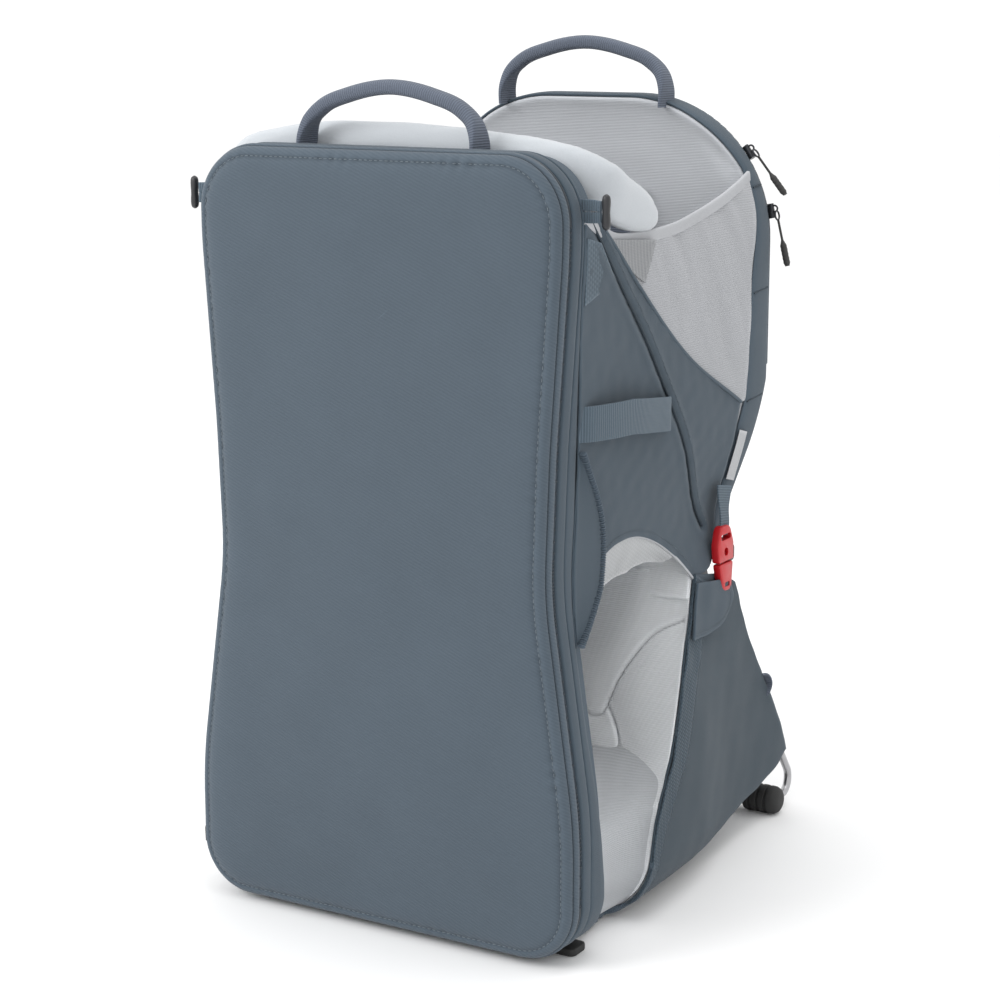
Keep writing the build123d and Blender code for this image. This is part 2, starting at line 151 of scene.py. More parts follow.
FRONT, FRONT_OUT = symmetric(
    [(BASE_HALF, PANEL_BOTTOM), (BASE_HALF, 115), (WAIST_HALF, 292), (CHEST_HALF, 400),
     (TOP_HALF, 545), (TOP_HALF, PANEL_TOP)], [45, 400, 300, 850, 450, 50], 720)
REAR, REAR_OUT = symmetric(
    [(REAR_WAIST_HALF, REAR_BOTTOM), (REAR_WAIST_HALF, 300), (REAR_HALF, 385), (REAR_HALF, REAR_TOP)],
    [8, 120, 300, 120], 480)


def half_width(outline, z):
    """Half width of an outline at a height."""
    right = outline[: len(outline) // 2]
    return np.interp(z, right[:, 1], right[:, 0])


def side_x(depth, z):
    """How far out the side fabric is: it runs from the front outline to the rear one, and lower
    down to the kickstand's rods."""
    depth, z = np.asarray(depth, float), np.asarray(z, float)
    front, rear = half_width(FRONT, z), half_width(REAR, z)
    high = front + (rear - front) * smooth(depth / 300) * smooth((z - 262) / 70)
    rods = STORAGE_HALF - front
    return high + rods * smooth((depth - 150) / 190) * smooth((262 - z) / 60)


def waves(a, b, length, seed):
    """Smooth uneven height, about -1 to 1, over two coordinates."""
    random = np.random.default_rng(seed)
    total = 0.0
    for _ in range(7):
        angle, phase = random.uniform(0, math.tau), random.uniform(0, math.tau)
        turn = math.tau / (length * random.uniform(0.6, 1.7))
        total = total + np.sin((a * math.cos(angle) + b * math.sin(angle)) * turn + phase)
    return total / 4.5


def distance_to(line, a, b):
    """Distance of each point (a, b) from a line of points."""
    line = np.asarray(line, float)
    start, run = line[:-1], np.diff(line, axis=0)
    points = np.stack([a, b], axis=-1)[..., None, :]
    share = np.clip(((points - start) * run).sum(-1) / (run * run).sum(-1), 0, 1)
    return np.linalg.norm(points - (start + share[..., None] * run), axis=-1).min(-1)


def patch(bottom, right, top, left, across, up):
    """Grid of (depth, z) points between four edges that meet at their ends."""
    low, high = resample(bottom, across), resample(top, across)
    west, east = resample(left, up), resample(right, up)
    u = np.linspace(0, 1, across)[None, :, None]
    v = np.linspace(0, 1, up)[:, None, None]
    corners = ((1 - u) * (1 - v) * low[0] + u * (1 - v) * low[-1]
               + (1 - u) * v * high[0] + u * v * high[-1])
    return (1 - v) * low + v * high + (1 - u) * west[:, None] + u * east[:, None] - corners


def superellipse(half_side, half_over, power=2.0, count=20):
    """Closed section, from round (2) to a rounded rectangle (6)."""
    turn = np.linspace(0, math.tau, count, endpoint=False)
    c, s = np.cos(turn), np.sin(turn)
    return np.stack([half_side * np.sign(c) * np.abs(c) ** (2 / power),
                     half_over * np.sign(s) * np.abs(s) ** (2 / power)], axis=1)


def clean(piece, merge=1e-6):
    """Joins points that fall together and turns every face outwards."""
    shape = bmesh.new()
    shape.from_mesh(piece.data)
    bmesh.ops.remove_doubles(shape, verts=shape.verts, dist=merge)
    bmesh.ops.recalc_face_normals(shape, faces=shape.faces)
    shape.to_mesh(piece.data)
    shape.free()
    return piece


def finished(name, mesh, material, sharp=55):
    """Object of a mesh, smooth but for its sharp edges."""
    mesh.polygons.foreach_set("use_smooth", [True] * len(mesh.polygons))
    mesh.set_sharp_from_angle(angle=math.radians(sharp))
    mesh.materials.append(material)
    piece = bpy.data.objects.new(name, mesh)
    bpy.context.scene.collection.objects.link(piece)
    return piece


def surface(name, grid, material, wrap=False, loop=False, ends=False):
    """Quad mesh through grid[row][column] of points, with a UV map in metres named weave.

    wrap joins the last column to the first, loop the last row to the first, and ends closes the
    first and last row.
    """
    rows, columns = grid.shape[:2]
    u_steps = np.linalg.norm(np.roll(grid, -1, axis=1) - grid, axis=2).mean(axis=0)
    v_steps = np.linalg.norm(np.roll(grid, -1, axis=0) - grid, axis=2).mean(axis=1)
    u, v = (np.concatenate([[0.0], np.cumsum(steps)]) for steps in (u_steps, v_steps))
    i, j = (index.ravel() for index in np.meshgrid(
        np.arange(rows if loop else rows - 1), np.arange(columns if wrap else columns - 1),
        indexing="ij"))
    i_next, j_next = (i + 1) % rows, (j + 1) % columns
    faces = np.stack([i * columns + j, i * columns + j_next,
                      i_next * columns + j_next, i_next * columns + j], axis=1).tolist()
    weave = np.stack([u[j], v[i], u[j + 1], v[i], u[j + 1], v[i + 1], u[j], v[i + 1]], axis=1).ravel()
    if ends:
        faces.append(list(range(columns))[::-1])
        faces.append(list(range((rows - 1) * columns, rows * columns)))
        weave = np.concatenate([weave, np.zeros(4 * columns)])
    mesh = bpy.data.meshes.new(name)
    mesh.from_pydata(grid.reshape(-1, 3).tolist(), [], faces)
    mesh.uv_layers.new(name="weave").data.foreach_set("uv", weave.astype(np.float32))
    return clean(finished(name, mesh, material))


def sweep(name, path, section, material, up=(0, 0, 1), loop=False):
    """A closed (side, over) section in mm, or a function of the share passed, along a path."""
    path = np.asarray(path, float)
    ahead = np.roll(path, -1, axis=0) - np.roll(path, 1, axis=0) if loop else np.gradient(path, axis=0)
    side = unit(np.cross(unit(ahead), np.broadcast_to(up, path.shape)))
    over = np.cross(side, unit(ahead))
    shares = np.linspace(0, 1, len(path))
    outlines = np.stack([section(s) if callable(section) else section for s in shares]) * MM
    grid = (path[:, None] + side[:, None] * outlines[:, :, :1] + over[:, None] * outlines[:, :, 1:])
    return surface(name, grid, material, wrap=True, loop=loop, ends=not loop)


def applied(piece):
    """The piece with its modifiers made real."""
    graph = bpy.context.evaluated_depsgraph_get()
    final = bpy.data.meshes.new_from_object(piece.evaluated_get(graph), preserve_all_data_layers=True,
                                            depsgraph=graph)
    piece.modifiers.clear()
    piece.data = final
    return piece


def thicken(piece, thickness, offset=0.0):
    """Gives a sheet its thickness in mm; offset -1 adds it inwards, 1 outwards."""
    modifier = piece.modifiers.new("thickness", "SOLIDIFY")
    modifier.thickness = thickness * MM
    modifier.offset = offset
    return applied(piece)


def subdivide(piece, levels=1):
    modifier = piece.modifiers.new("subdivision", "SUBSURF")
    modifier.levels = modifier.render_levels = levels
    return applied(piece)


def stitches(name, path, outward, material, pitch=4.2, length=2.9, width=0.75):
    """A row of thread stitches that lie on a path in metres."""
    path = np.asarray(path, float)
    total = np.linalg.norm(np.diff(path, axis=0), axis=1).sum() / MM
    count = max(2, int(total / pitch))
    lines = resample(np.hstack([path, np.broadcast_to(outward, path.shape)]), count + 1)
    here, out = (lines[:-1, :3] + lines[1:, :3]) / 2, unit(lines[:-1, 3:] + lines[1:, 3:])
    along = unit(np.diff(lines[:, :3], axis=0))
    side = np.cross(along, out)
    shape = []
    for place, swell in ((-0.5, 0.35), (-0.36, 0.9), (0.0, 1.0), (0.36, 0.9), (0.5, 0.35)):
        for turn in np.arange(6) * math.tau / 6:
            shape.append((place * length, math.cos(turn) * swell * width / 2,
                          math.sin(turn) * swell * width / 2 * 0.8))
    shape = np.array(shape) * MM
    points = (here[:, None] + along[:, None] * shape[None, :, :1] + side[:, None] * shape[None, :, 1:2]
              + out[:, None] * (shape[None, :, 2:] + 0.12 * MM))
    ring = [[r * 6 + k, r * 6 + (k + 1) % 6, (r + 1) * 6 + (k + 1) % 6, (r + 1) * 6 + k]
            for r in range(4) for k in range(6)]
    one = ring + [list(range(6))[::-1], list(range(24, 30))]
    faces = [[n * 30 + k for k in face] for n in range(len(here)) for face in one]
    mesh = bpy.data.meshes.new(name)
    mesh.from_pydata(points.reshape(-1, 3).tolist(), [], faces)
    return finished(name, mesh, material)


def lathe_x(name, profile, depth, z, material, count=48):
    """Turned piece about an axis along x, from its (x, radius) profile."""
    profile = np.asarray(profile, float)
    turn = np.linspace(0, math.tau, count, endpoint=False)
    grid = at(profile[:, :1] + 0 * turn, depth + profile[:, 1:] * np.cos(turn),
                        z + profile[:, 1:] * np.sin(turn))
    return surface(name, grid, material, wrap=True, ends=True)


def inflate(piece, pressure=4.0, cap=6.0, voxel=5.0, steps=20):
    """Swells a padded piece by cloth simulation, moving no point by more than cap mm."""
    remesh = piece.modifiers.new("remesh", "REMESH")
    remesh.mode = "VOXEL"
    remesh.voxel_size = voxel * MM
    applied(piece)
    rest = np.array([vertex.co for vertex in piece.data.vertices])
    cloth_sim = piece.modifiers.new("cloth", "CLOTH")
    settings = cloth_sim.settings
    settings.quality = 5
    settings.mass = 0.3
    settings.tension_stiffness = settings.compression_stiffness = 12
    settings.shear_stiffness = 5
    settings.bending_stiffness = 0.4
    settings.use_pressure = True
    settings.uniform_pressure_force = pressure
    settings.effector_weights.gravity = 0
    cloth_sim.collision_settings.use_collision = False
    for step in range(1, steps + 1):
        bpy.context.scene.frame_set(step)
    graph = bpy.context.evaluated_depsgraph_get()
    swollen = np.array([vertex.co for vertex in piece.evaluated_get(graph).data.vertices])
    piece.modifiers.clear()
    bpy.context.scene.frame_set(1)
    moved = swollen - rest
    length = np.linalg.norm(moved, axis=1, keepdims=True)
    moved *= np.minimum(1.0, cap * MM / np.maximum(length, 1e-9))
    piece.data.vertices.foreach_set("co", (rest + moved).astype(np.float32).ravel())
    subdivide(piece)
    piece.data.polygons.foreach_set("use_smooth", [True] * len(piece.data.polygons))
    return piece


def flat_cut(grid):
    """Width, length and area in metres of the flat cloth that a grid of points was sewn from."""
    wide = np.linalg.norm(np.diff(grid, axis=1), axis=2).sum(axis=1).max()
    long = np.linalg.norm(np.diff(grid, axis=0), axis=2).sum(axis=0).max()
    one, two = grid[1:, 1:] - grid[:-1, :-1], grid[1:, :-1] - grid[:-1, 1:]
    area = np.linalg.norm(np.cross(one, two), axis=2).sum() / 2
    return (round(wide, 3), round(long, 3)), min(area, round(wide, 3) * round(long, 3))


def strip(name, path, section, material, body, slot, node_name=None, up=(0, 0, 1), loop=False):
    """A swept piece that follows a body."""
    add(sweep(name, path, section, material, up, loop), body, slot, node_name)


# Cloth that crosses a joint: the two bodies, and where it leaves one and reaches the other.
SIDE_CLOTH = ("root", "rear_hoop", (0, 19, 400), (0, 280, 400))
PIVOT_CLOTH = ("root", "rear_hoop", (0, 24, 60), (0, 105, 60))
COVER_CLOTH = ("root", "harness_cover", (0, -17, 14), (0, -17, 84))


def add(piece, body, slot, node_name=None):
    """Makes a piece follow a body, or bakes its place in for cloth between two bodies, and hides a node's
    CAD part if one is named.
    """
    if isinstance(body, str):
        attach(piece, body)
    else:
        first, second, start, end = body
        at(*start)
        at(*end)
        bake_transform(piece)
    if node_name:
        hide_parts(node_name)


def sheet(name, grid, material, thickness, body, slot, node_name=None):
    """A sheet of cloth sewn from a grid of points and thickened; the size it was cut to is worked out but
    not used.
    """
    piece = thicken(surface(name, grid, material), thickness)
    flat, area = flat_cut(grid)
    add(piece, body, slot, node_name)


# ==== materials ====
EXPOSED = 1.32      # how much light the studio throws on a surface that faces the camera


def tone(red, green, blue):
    """Surface colour, linear, that looks like this screen colour under the studio light."""
    return tuple(((c / 255 + 0.055) / 1.055) ** 2.4 / EXPOSED for c in (red, green, blue))


def node(tree, kind, inputs=None, **settings):
    made = tree.nodes.new(kind)
    for name, value in settings.items():
        setattr(made, name, value)
    for key, value in (inputs or {}).items():
        if isinstance(value, bpy.types.NodeSocket):
            tree.links.new(value, made.inputs[key])
        else:
            made.inputs[key].default_value = value
    return made


def calc(tree, operation, *values):
    return node(tree, "ShaderNodeMath", dict(enumerate(values)), operation=operation).outputs[0]


def noise(tree, scale, detail=3.0, roughness=0.6):
    """Cloudy value, 0 to 1, with features about 1 / scale metres across."""
    place = node(tree, "ShaderNodeTexCoord").outputs["Object"]
    made = node(tree, "ShaderNodeTexNoise",
                {"Vector": place, "Scale": scale, "Detail": detail, "Roughness": roughness})
    return made.outputs[0]


def on_body(tree):
    """Cloth coordinates over the pack: along its walls and up."""
    place = node(tree, "ShaderNodeSeparateXYZ", {0: node(tree, "ShaderNodeTexCoord").outputs["Object"]})
    along = calc(tree, "ADD", place.outputs[0], place.outputs[1])
    return node(tree, "ShaderNodeCombineXYZ", {0: along, 1: place.outputs[2]}).outputs[0]


def on_strap(tree):
    """Cloth coordinates of a strap: round it and along it."""
    return node(tree, "ShaderNodeUVMap", uv_map="weave").outputs[0]


def stripes(tree, place, angle, pitch):
    """Rounded ridges, 0 to 1, across a direction in the cloth, pitch mm apart."""
    turn = math.tau / (pitch * MM)
    direction = (math.cos(math.radians(angle)) * turn, math.sin(math.radians(angle)) * turn, 0.0)
    phase = node(tree, "ShaderNodeVectorMath", {0: place, 1: direction}, operation="DOT_PRODUCT")
    return calc(tree, "MULTIPLY_ADD", calc(tree, "SINE", phase.outputs["Value"]), 0.5, 0.5)


def plain_weave(tree, place, pitch):
    warp, weft = stripes(tree, place, 0, pitch), stripes(tree, place, 90, pitch)
    crossed = calc(tree, "MULTIPLY", calc(tree, "SUBTRACT", warp, 0.5), calc(tree, "SUBTRACT", weft, 0.5))
    return calc(tree, "MULTIPLY_ADD", crossed, 2.0, 0.5)


def spun(tree, place, pitch):
    """Twisted sewing thread."""
    return stripes(tree, place, 45, pitch)


def twill(tree, place, pitch, angle=68):
    rows = stripes(tree, place, angle, pitch)
    return calc(tree, "MULTIPLY_ADD", plain_weave(tree, place, 0.45 * pitch), 0.35,
                calc(tree, "MULTIPLY", rows, 0.65))


def ribs(tree, place, pitch, angle=90):
    """Ribs with fine threads between them."""
    rows = stripes(tree, place, angle, pitch)
    return calc(tree, "MULTIPLY_ADD", stripes(tree, place, angle + 90, 0.5 * pitch), 0.2,
                calc(tree, "MULTIPLY", rows, 0.8))


def honeycomb(tree, place, pitch):
    """Six-sided cells between raised threads."""
    a, b, c = (stripes(tree, place, angle, pitch) for angle in (0, 60, 120))
    total = calc(tree, "ADD", calc(tree, "ADD", a, b), c)
    return calc(tree, "MULTIPLY", total, 0.34)


def scaled(tree, colour, factor):
    return node(tree, "ShaderNodeVectorMath", {0: colour, 3: factor}, operation="SCALE").outputs[0]


def new_material(name):
    material = bpy.data.materials.new(name)
    material.use_nodes = True
    return material, material.node_tree


def finish_material(material, colour, height, relief, roughness, **finish):
    """Links colour, roughness and a bump (relief in mm); finish holds the shader's constants."""
    tree = material.node_tree
    shader = tree.nodes["Principled BSDF"]
    bump = node(tree, "ShaderNodeBump", {"Strength": 1.0, "Distance": relief * MM, "Height": height})
    for value, socket in ((colour, "Base Color"), (bump.outputs[0], "Normal"), (roughness, "Roughness")):
        tree.links.new(value, shader.inputs[socket])
    for key, value in finish.items():
        shader.inputs[key.replace("_", " ")].default_value = value
    return material


def edge_wear_and_fold_shade(tree, colour, amount):
    """Lighter along ridges, as worn edges of cloth and plastic are, and darker in folds as painted shade."""
    point = node(tree, "ShaderNodeNewGeometry").outputs["Pointiness"]
    share = node(tree, "ShaderNodeMapRange",
                 {"Value": point, "From Min": 0.42, "From Max": 0.58,
                  "To Min": 1.0 - amount, "To Max": 1.0 + amount}).outputs[0]
    return scaled(tree, colour, share)


def cloth(name, screen_colour, weave, contrast=0.12, relief=0.25, mottle=0.08, roughness=0.86,
          sheen=0.12, edges=0.25, strap=False):
    """Woven or knitted fabric; weave is a pattern's function and its sizes."""
    material, tree = new_material(name)
    place = on_strap(tree) if strap else on_body(tree)
    kind, *sizes = weave
    threads = kind(tree, place, *sizes)
    clouds, fuzz = noise(tree, 14.0), noise(tree, 700.0, 2.0)
    level = calc(tree, "MULTIPLY_ADD", calc(tree, "SUBTRACT", threads, 0.5), 2 * contrast, 1.0)
    level = calc(tree, "MULTIPLY_ADD", calc(tree, "SUBTRACT", clouds, 0.5), 2 * mottle, level)
    level = calc(tree, "MULTIPLY_ADD", calc(tree, "SUBTRACT", fuzz, 0.5), 0.10, level)
    base = scaled(tree, tone(*screen_colour), level)
    height = calc(tree, "MULTIPLY_ADD", fuzz, 0.35, threads)
    dull = calc(tree, "MULTIPLY_ADD", threads, -0.12, roughness + 0.06)
    return finish_material(material, edge_wear_and_fold_shade(tree, base, edges), height, relief, dull,
                           Sheen_Weight=sheen, Sheen_Roughness=0.5, Specular_IOR_Level=0.25)


def moulded(name, screen_colour, roughness=0.45, grain=0.05, relief=0.05, edges=0.3, **finish):
    """Plastic, rubber or painted metal with a fine moulded grain."""
    material, tree = new_material(name)
    fine, broad = noise(tree, 1600.0, 2.0), noise(tree, 40.0)
    level = calc(tree, "MULTIPLY_ADD", calc(tree, "SUBTRACT", broad, 0.5), 2 * grain, 1.0)
    base = scaled(tree, tone(*screen_colour), level)
    dull = calc(tree, "MULTIPLY_ADD", broad, 0.16, roughness - 0.08)
    return finish_material(material, edge_wear_and_fold_shade(tree, base, edges), fine, relief, dull, **finish)


def drawn_metal(name, colour, roughness=0.32):
    """Metal tube or rod with faint drawing lines along its length."""
    material, tree = new_material(name)
    place = node(tree, "ShaderNodeTexCoord").outputs["Object"]
    lines = node(tree, "ShaderNodeMapping", {0: place, 3: (900.0, 900.0, 40.0)}).outputs[0]
    drawn = node(tree, "ShaderNodeTexNoise", {"Vector": lines, "Scale": 1.0, "Detail": 2.0}).outputs[0]
    level = calc(tree, "MULTIPLY_ADD", drawn, 0.25, 0.87)
    base = scaled(tree, colour, level)
    dull = calc(tree, "MULTIPLY_ADD", drawn, 0.18, roughness - 0.09)
    return finish_material(material, edge_wear_and_fold_shade(tree, base, 0.15), drawn, 0.02, dull, Metallic=1.0)


SHELL = cloth("blue_grey_nylon", (84, 96, 107), (twill, 2.5), contrast=0.07)
SHELL_SIDE = cloth("blue_grey_nylon_side", (77, 90, 101), (plain_weave, 1.5), contrast=0.06)
BINDING = cloth("slate_binding", (84, 97, 109), (ribs, 1.8), contrast=0.16,
                relief=0.4, strap=True)
PIPING = cloth("dark_piping", (44, 56, 66), (ribs, 1.4), relief=0.3, strap=True)
WEBBING = cloth("slate_webbing", (102, 110, 124), (ribs, 1.9), contrast=0.2,
                relief=0.45, strap=True)
STRAP_WEBBING = cloth("blue_grey_grosgrain", (93, 108, 120), (ribs, 2.2),
                      contrast=0.2, relief=0.5, strap=True)
SHELL_LOWER = cloth("blue_grey_nylon_lower", (66, 79, 89), (plain_weave, 1.5),
                    contrast=0.07)
HONEYCOMB = cloth("blue_grey_air_mesh", (68, 82, 93), (honeycomb, 2.6),
                  contrast=0.32, relief=0.6)
ZIP_TAPE = cloth("zip_tape", (52, 62, 72), (twill, 1.4, 45), strap=True)
ZIP_TEETH = moulded("zip_coil", (58, 68, 78), roughness=0.4)
THREAD = cloth("sewing_thread", (140, 153, 163), (spun, 0.8))
LIGHT = cloth("pale_grey_lining", (245, 248, 251), (ribs, 1.6), contrast=0.04,
              mottle=0.04, edges=0.2, sheen=0.2)
LIGHT_BRUSHED = cloth("pale_grey_brushed", (210, 213, 218), (ribs, 1.3),
                      contrast=0.015, mottle=0.04, edges=0.15, sheen=0.25)
LIGHT_MESH = cloth("pale_grey_knit_mesh", (184, 186, 190), (ribs, 1.9),
                   contrast=0.06, relief=0.4, mottle=0.06)
LIGHT_BINDING = cloth("pale_grey_binding", (190, 192, 196), (ribs, 1.5),
                      contrast=0.05, strap=True)
# The same lining as LIGHT, painted darker as shade where it runs in front of the pivots.
LIGHT_SHADED = cloth("pale_grey_lining_painted_shade", (196, 199, 203), (ribs, 1.6), contrast=0.04,
                   mottle=0.04, edges=0.2, sheen=0.2)
MOTTLED_LIGHT = cloth("pale_grey_mottled_lining", (190, 192, 194), (honeycomb, 3.0),
                      contrast=0.10, mottle=0.22)
COARSE_MESH = cloth("grey_coarse_mesh", (160, 162, 165), (ribs, 2.4, 0), contrast=0.3,
                    relief=0.8)
MOTTLED_BLUE = cloth("mottled_blue_patch", (86, 100, 111), (honeycomb, 3.4), contrast=0.25, mottle=0.3)
SEAM_THREAD = cloth("slate_seam_thread", (112, 125, 136), (spun, 0.8))
PAD = cloth("near_white_pad_knit", (206, 211, 216), (plain_weave, 1.1), contrast=0.025,
            mottle=0.03, edges=0.15, sheen=0.3, relief=0.15)
FOAM = cloth("charcoal_spacer_mesh", (66, 70, 76), (honeycomb, 3.2), contrast=0.35, relief=0.8)
BLACK = moulded("black_plastic", (40, 41, 44), roughness=0.42)
RUBBER = moulded("black_rubber", (42, 42, 42), roughness=0.7, relief=0.12)
RED = moulded("red_plastic", (198, 24, 32), roughness=0.34, edges=0.15)
ZIP_METAL = moulded("dark_zip_metal", (60, 62, 66), roughness=0.35, Metallic=0.7)
STEEL = drawn_metal("steel_rod", (0.42, 0.42, 0.43))
ALUMINIUM = drawn_metal("anodised_aluminium", (0.36, 0.37, 0.39), roughness=0.4)
LABEL = cloth("white_woven_label", (205, 207, 210), (plain_weave, 0.9))


# ==== studio ====
TARGET = at(3.0, 150.0, 319.0)
AZIMUTH, ELEVATION, DISTANCE = math.radians(31.194), math.radians(11.808), 1.947


def aim(thing, place, target):
    """Puts a light or the camera in its place, facing the target."""
    thing.location = place
    thing.rotation_mode = "QUATERNION"
    thing.rotation_quaternion = (Vector(target) - thing.location).to_track_quat("-Z", "Y")


camera = bpy.data.objects.new("camera", bpy.data.cameras.new("camera"))
bpy.context.scene.collection.objects.link(camera)
camera.data.lens = 84.2
camera.data.sensor_width = 36.0
camera.data.clip_start = 0.05
aim(camera, TARGET + DISTANCE * np.array([math.sin(AZIMUTH) * math.cos(ELEVATION),
                                          -math.cos(AZIMUTH) * math.cos(ELEVATION),
                                          math.sin(ELEVATION)]), TARGET)
bpy.context.scene.camera = camera


def softbox(name, place, size, power):
    light = bpy.data.objects.new(name, bpy.data.lights.new(name, "AREA"))
    light.data.shape = "DISK"
    light.data.size = size
    light.data.energy = power
    bpy.context.scene.collection.objects.link(light)
    aim(light, place, TARGET)


softbox("key_light", (-1.5, -2.4, 2.0), 1.8, 46)
softbox("top_light", (0.3, 0.2, 2.8), 1.6, 16)

floor = bpy.data.meshes.new("floor")
FLOOR_HALF = 12.0
floor.from_pydata([(x, y, 0) for x, y in ((-1, -1), (1, -1), (1, 1), (-1, 1))], [], [(0, 1, 2, 3)])
floor.transform(Matrix.Scale(FLOOR_HALF, 4))
floor_material = bpy.data.materials.new("pale_floor")
floor_material.use_nodes = True
floor_shader = floor_material.node_tree.nodes["Principled BSDF"]
floor_shader.inputs["Base Color"].default_value = (0.93, 0.93, 0.93, 1)
floor_shader.inputs["Roughness"].default_value = 0.9
floor.materials.append(floor_material)
floor_object = bpy.data.objects.new("floor", floor)
bpy.context.scene.collection.objects.link(floor_object)

world = bpy.data.worlds.new("studio")
world.use_nodes = True
world.node_tree.nodes["Background"].inputs[0].default_value = (1, 1, 1, 1)
world.node_tree.nodes["Background"].inputs[1].default_value = 1.1
bpy.context.scene.world = world
bpy.context.scene.view_settings.view_transform = "Standard"


# ==== front: cover, zip, gusset and sleeve ====
def inset_ring(outline, outward, inset, depth):
    """An outline drawn in by inset mm, at a depth."""
    points = outline - outward * np.asarray(inset)[..., None]
    return at(points[:, 0], depth, points[:, 1])


def front_ring(inset, depth):
    return inset_ring(FRONT, FRONT_OUT, inset, depth)


def shrinking(edge, centre, keep, count):
    """Rings (share, x, z) from an edge in to an upright line that keeps part of its height."""
    spine = np.stack([0 * edge[:, 0], centre + (edge[:, 1] - centre) * keep], axis=1)
    for share in np.linspace(0, 1, count)[1:]:
        yield share, *(edge + (spine - edge) * share).T


def shell(name, rows, material, body, slot, node_name):
    """Closed wall of cloth through rings of points."""
    piece = surface(name, np.stack(rows), material, wrap=True)
    clean(piece, 2e-5)
    add(thicken(piece, CLOTH_THICKNESS, -1), body, slot, node_name)


CLOTH_THICKNESS = 1.6
ROUND_FRONT = np.concatenate([[0.0], np.cumsum(np.linalg.norm(np.diff(FRONT, axis=0), axis=1))])
PUCKER = waves(ROUND_FRONT, 0 * ROUND_FRONT, 8.0, 3) * (0.6 + 0.4 * waves(ROUND_FRONT, 0, 60, 4))
COVER_PROFILE = [
    (1.6, -17.4), (0.0, -17.9), (-0.8, -19.4), (-1.0, -21.8), (-0.6, -24.2), (0.4, -25.2), (1.7, -25.6),
    (1.0, -26.6), (1.0, -28.0), (1.8, -30.0), (3.4, -31.8), (5.2, -32.8), (6.8, -32.9), (8.0, -32.3),
    (9.2, -33.0), (11.0, -34.3), (14.0, -35.3), (18.0, -36.0), (24.0, -36.6), (32.0, -36.9)]
STITCH_INSET, PIPING_INSET, PIPING_DEPTH = 8.0, 1.5, -25.9
FACE_INSET, FACE_DEPTH = COVER_PROFILE[-1]
cover_rows = [front_ring(inset, depth - 0.9 * PUCKER * hill(inset - STITCH_INSET, 4.5))
              for inset, depth in COVER_PROFILE]
for share, x, z in shrinking(FRONT - FRONT_OUT * FACE_INSET, 315, 0.62, 40):
    wrinkles = (1.1 * waves(x, z, 150, 11) + 0.35 * waves(x, z, 42, 12)) * smooth(share * 4)
    cover_rows.append(at(x, FACE_DEPTH - 2.6 * math.sin(math.pi / 2 * share) - wrinkles, z))
shell("harness_cover_shell", cover_rows, SHELL, COVER_CLOTH, "shell_fabric", "harness_cover")

add(stitches("cover_stitching", front_ring(STITCH_INSET, -32.4 - 0.6 * PUCKER), (0, -1, 0), THREAD,
             pitch=4.6), COVER_CLOTH, "shell_fabric")


def front_band(name, profile, material, slot, node_name=None, ripple=0.0):
    """Closed ring round the front outline from its (inset, depth) section."""
    rows = [front_ring(inset + ripple * PUCKER * (inset < 1), depth) for inset, depth in profile]
    add(surface(name, np.stack(rows), material, wrap=True, loop=True), "root", slot, node_name)


strip("cover_piping", front_ring(PIPING_INSET, PIPING_DEPTH), superellipse(0.9, 0.9, 2, 10), PIPING,
      COVER_CLOTH, "shell_fabric", up=(0, 1, 0), loop=True)
front_band("cover_zip_tape_ring", [(1.5, -17.2), (1.5, -13.0), (3.4, -13.0), (3.4, -17.2)], ZIP_TAPE,
           "zip_tape", "cover_zip_tape")
add(stitches("cover_zip_teeth", front_ring(1.2, -15.1),
             np.stack([FRONT_OUT[:, 0], 0 * FRONT_OUT[:, 0], FRONT_OUT[:, 1]], axis=1),
             ZIP_TEETH, pitch=2.0, length=1.3, width=2.4), "root", "zip_tape")
front_band("cover_gusset_band", [
    (1.6, -13.0), (0.0, -12.6), (-0.6, -11.4), (-0.9, -9.0), (-1.1, -6.0), (-0.9, -3.0), (-0.3, -1.2),
    (0.8, -0.4), (3.2, -0.4), (3.2, -13.0)], SHELL_SIDE, "shell_fabric", "cover_gusset", ripple=0.12)


def seam_depth(z):
    """Where the side fabric is sewn on; the seam stands straight while the waist goes in."""
    return np.interp(z, [0, 60, 120, 180, 246, 290, 345, 400, 460, 520],
                     [24, 22, 14, 9, 8, 11, 13, 12, 7, 3])


SLEEVE_PROFILE = [(0.8, 0.0), (-0.2, 0.05), (-0.6, 0.2), (-0.7, 0.6), (-0.4, 0.9), (0.5, 1.0), (2.6, 1.0),
                  (2.6, 0.0)]
sleeve_rear = seam_depth(FRONT[:, 1])
sleeve_rows = [front_ring(inset, 0.1 + share * sleeve_rear) for inset, share in SLEEVE_PROFILE]
add(surface("frame_sleeve_fabric", np.stack(sleeve_rows), SHELL_SIDE, wrap=True, loop=True),
    "root", "shell_fabric", "frame_sleeve")
front_band("frame_tube_lining", [
    (2.8, 0.4), (2.6, 10), (3.0, 19.5), (8, 21), (18, 20.6), (24, 17), (25, 9), (22, 2), (12, 0.2)],
    SHELL_SIDE, "shell_fabric")

# ==== drool pad ====
PAD_STATIONS = [   # x, depth, z, half thickness, half height, from the right wing's tip to the left's
    (150, 132, 558, 4, 5), (153, 118, 563, 8, 11), (156, 96, 570, 11, 17), (158, 66, 579, 12, 20),
    (156, 44, 590, 13, 21), (140, 35, 601, 13, 20), (100, 33, 608, 13, 20), (50, 33, 613, 12, 20),
    (0, 33, 616, 12, 20), (-60, 33, 616, 12, 20), (-120, 33, 611, 13, 20), (-156, 36, 603, 13, 20),
    (-174, 48, 593, 13, 20), (-176, 72, 586, 12, 19), (-172, 100, 578, 11, 16), (-166, 120, 572, 8, 11),
    (-161, 134, 567, 4, 5)]
pad_line = curve(PAD_STATIONS, 150)


def pad_section(share):
    sizes = pad_line[int(round(share * (len(pad_line) - 1)))]
    return superellipse(sizes[3], sizes[4], 2.5, 28)


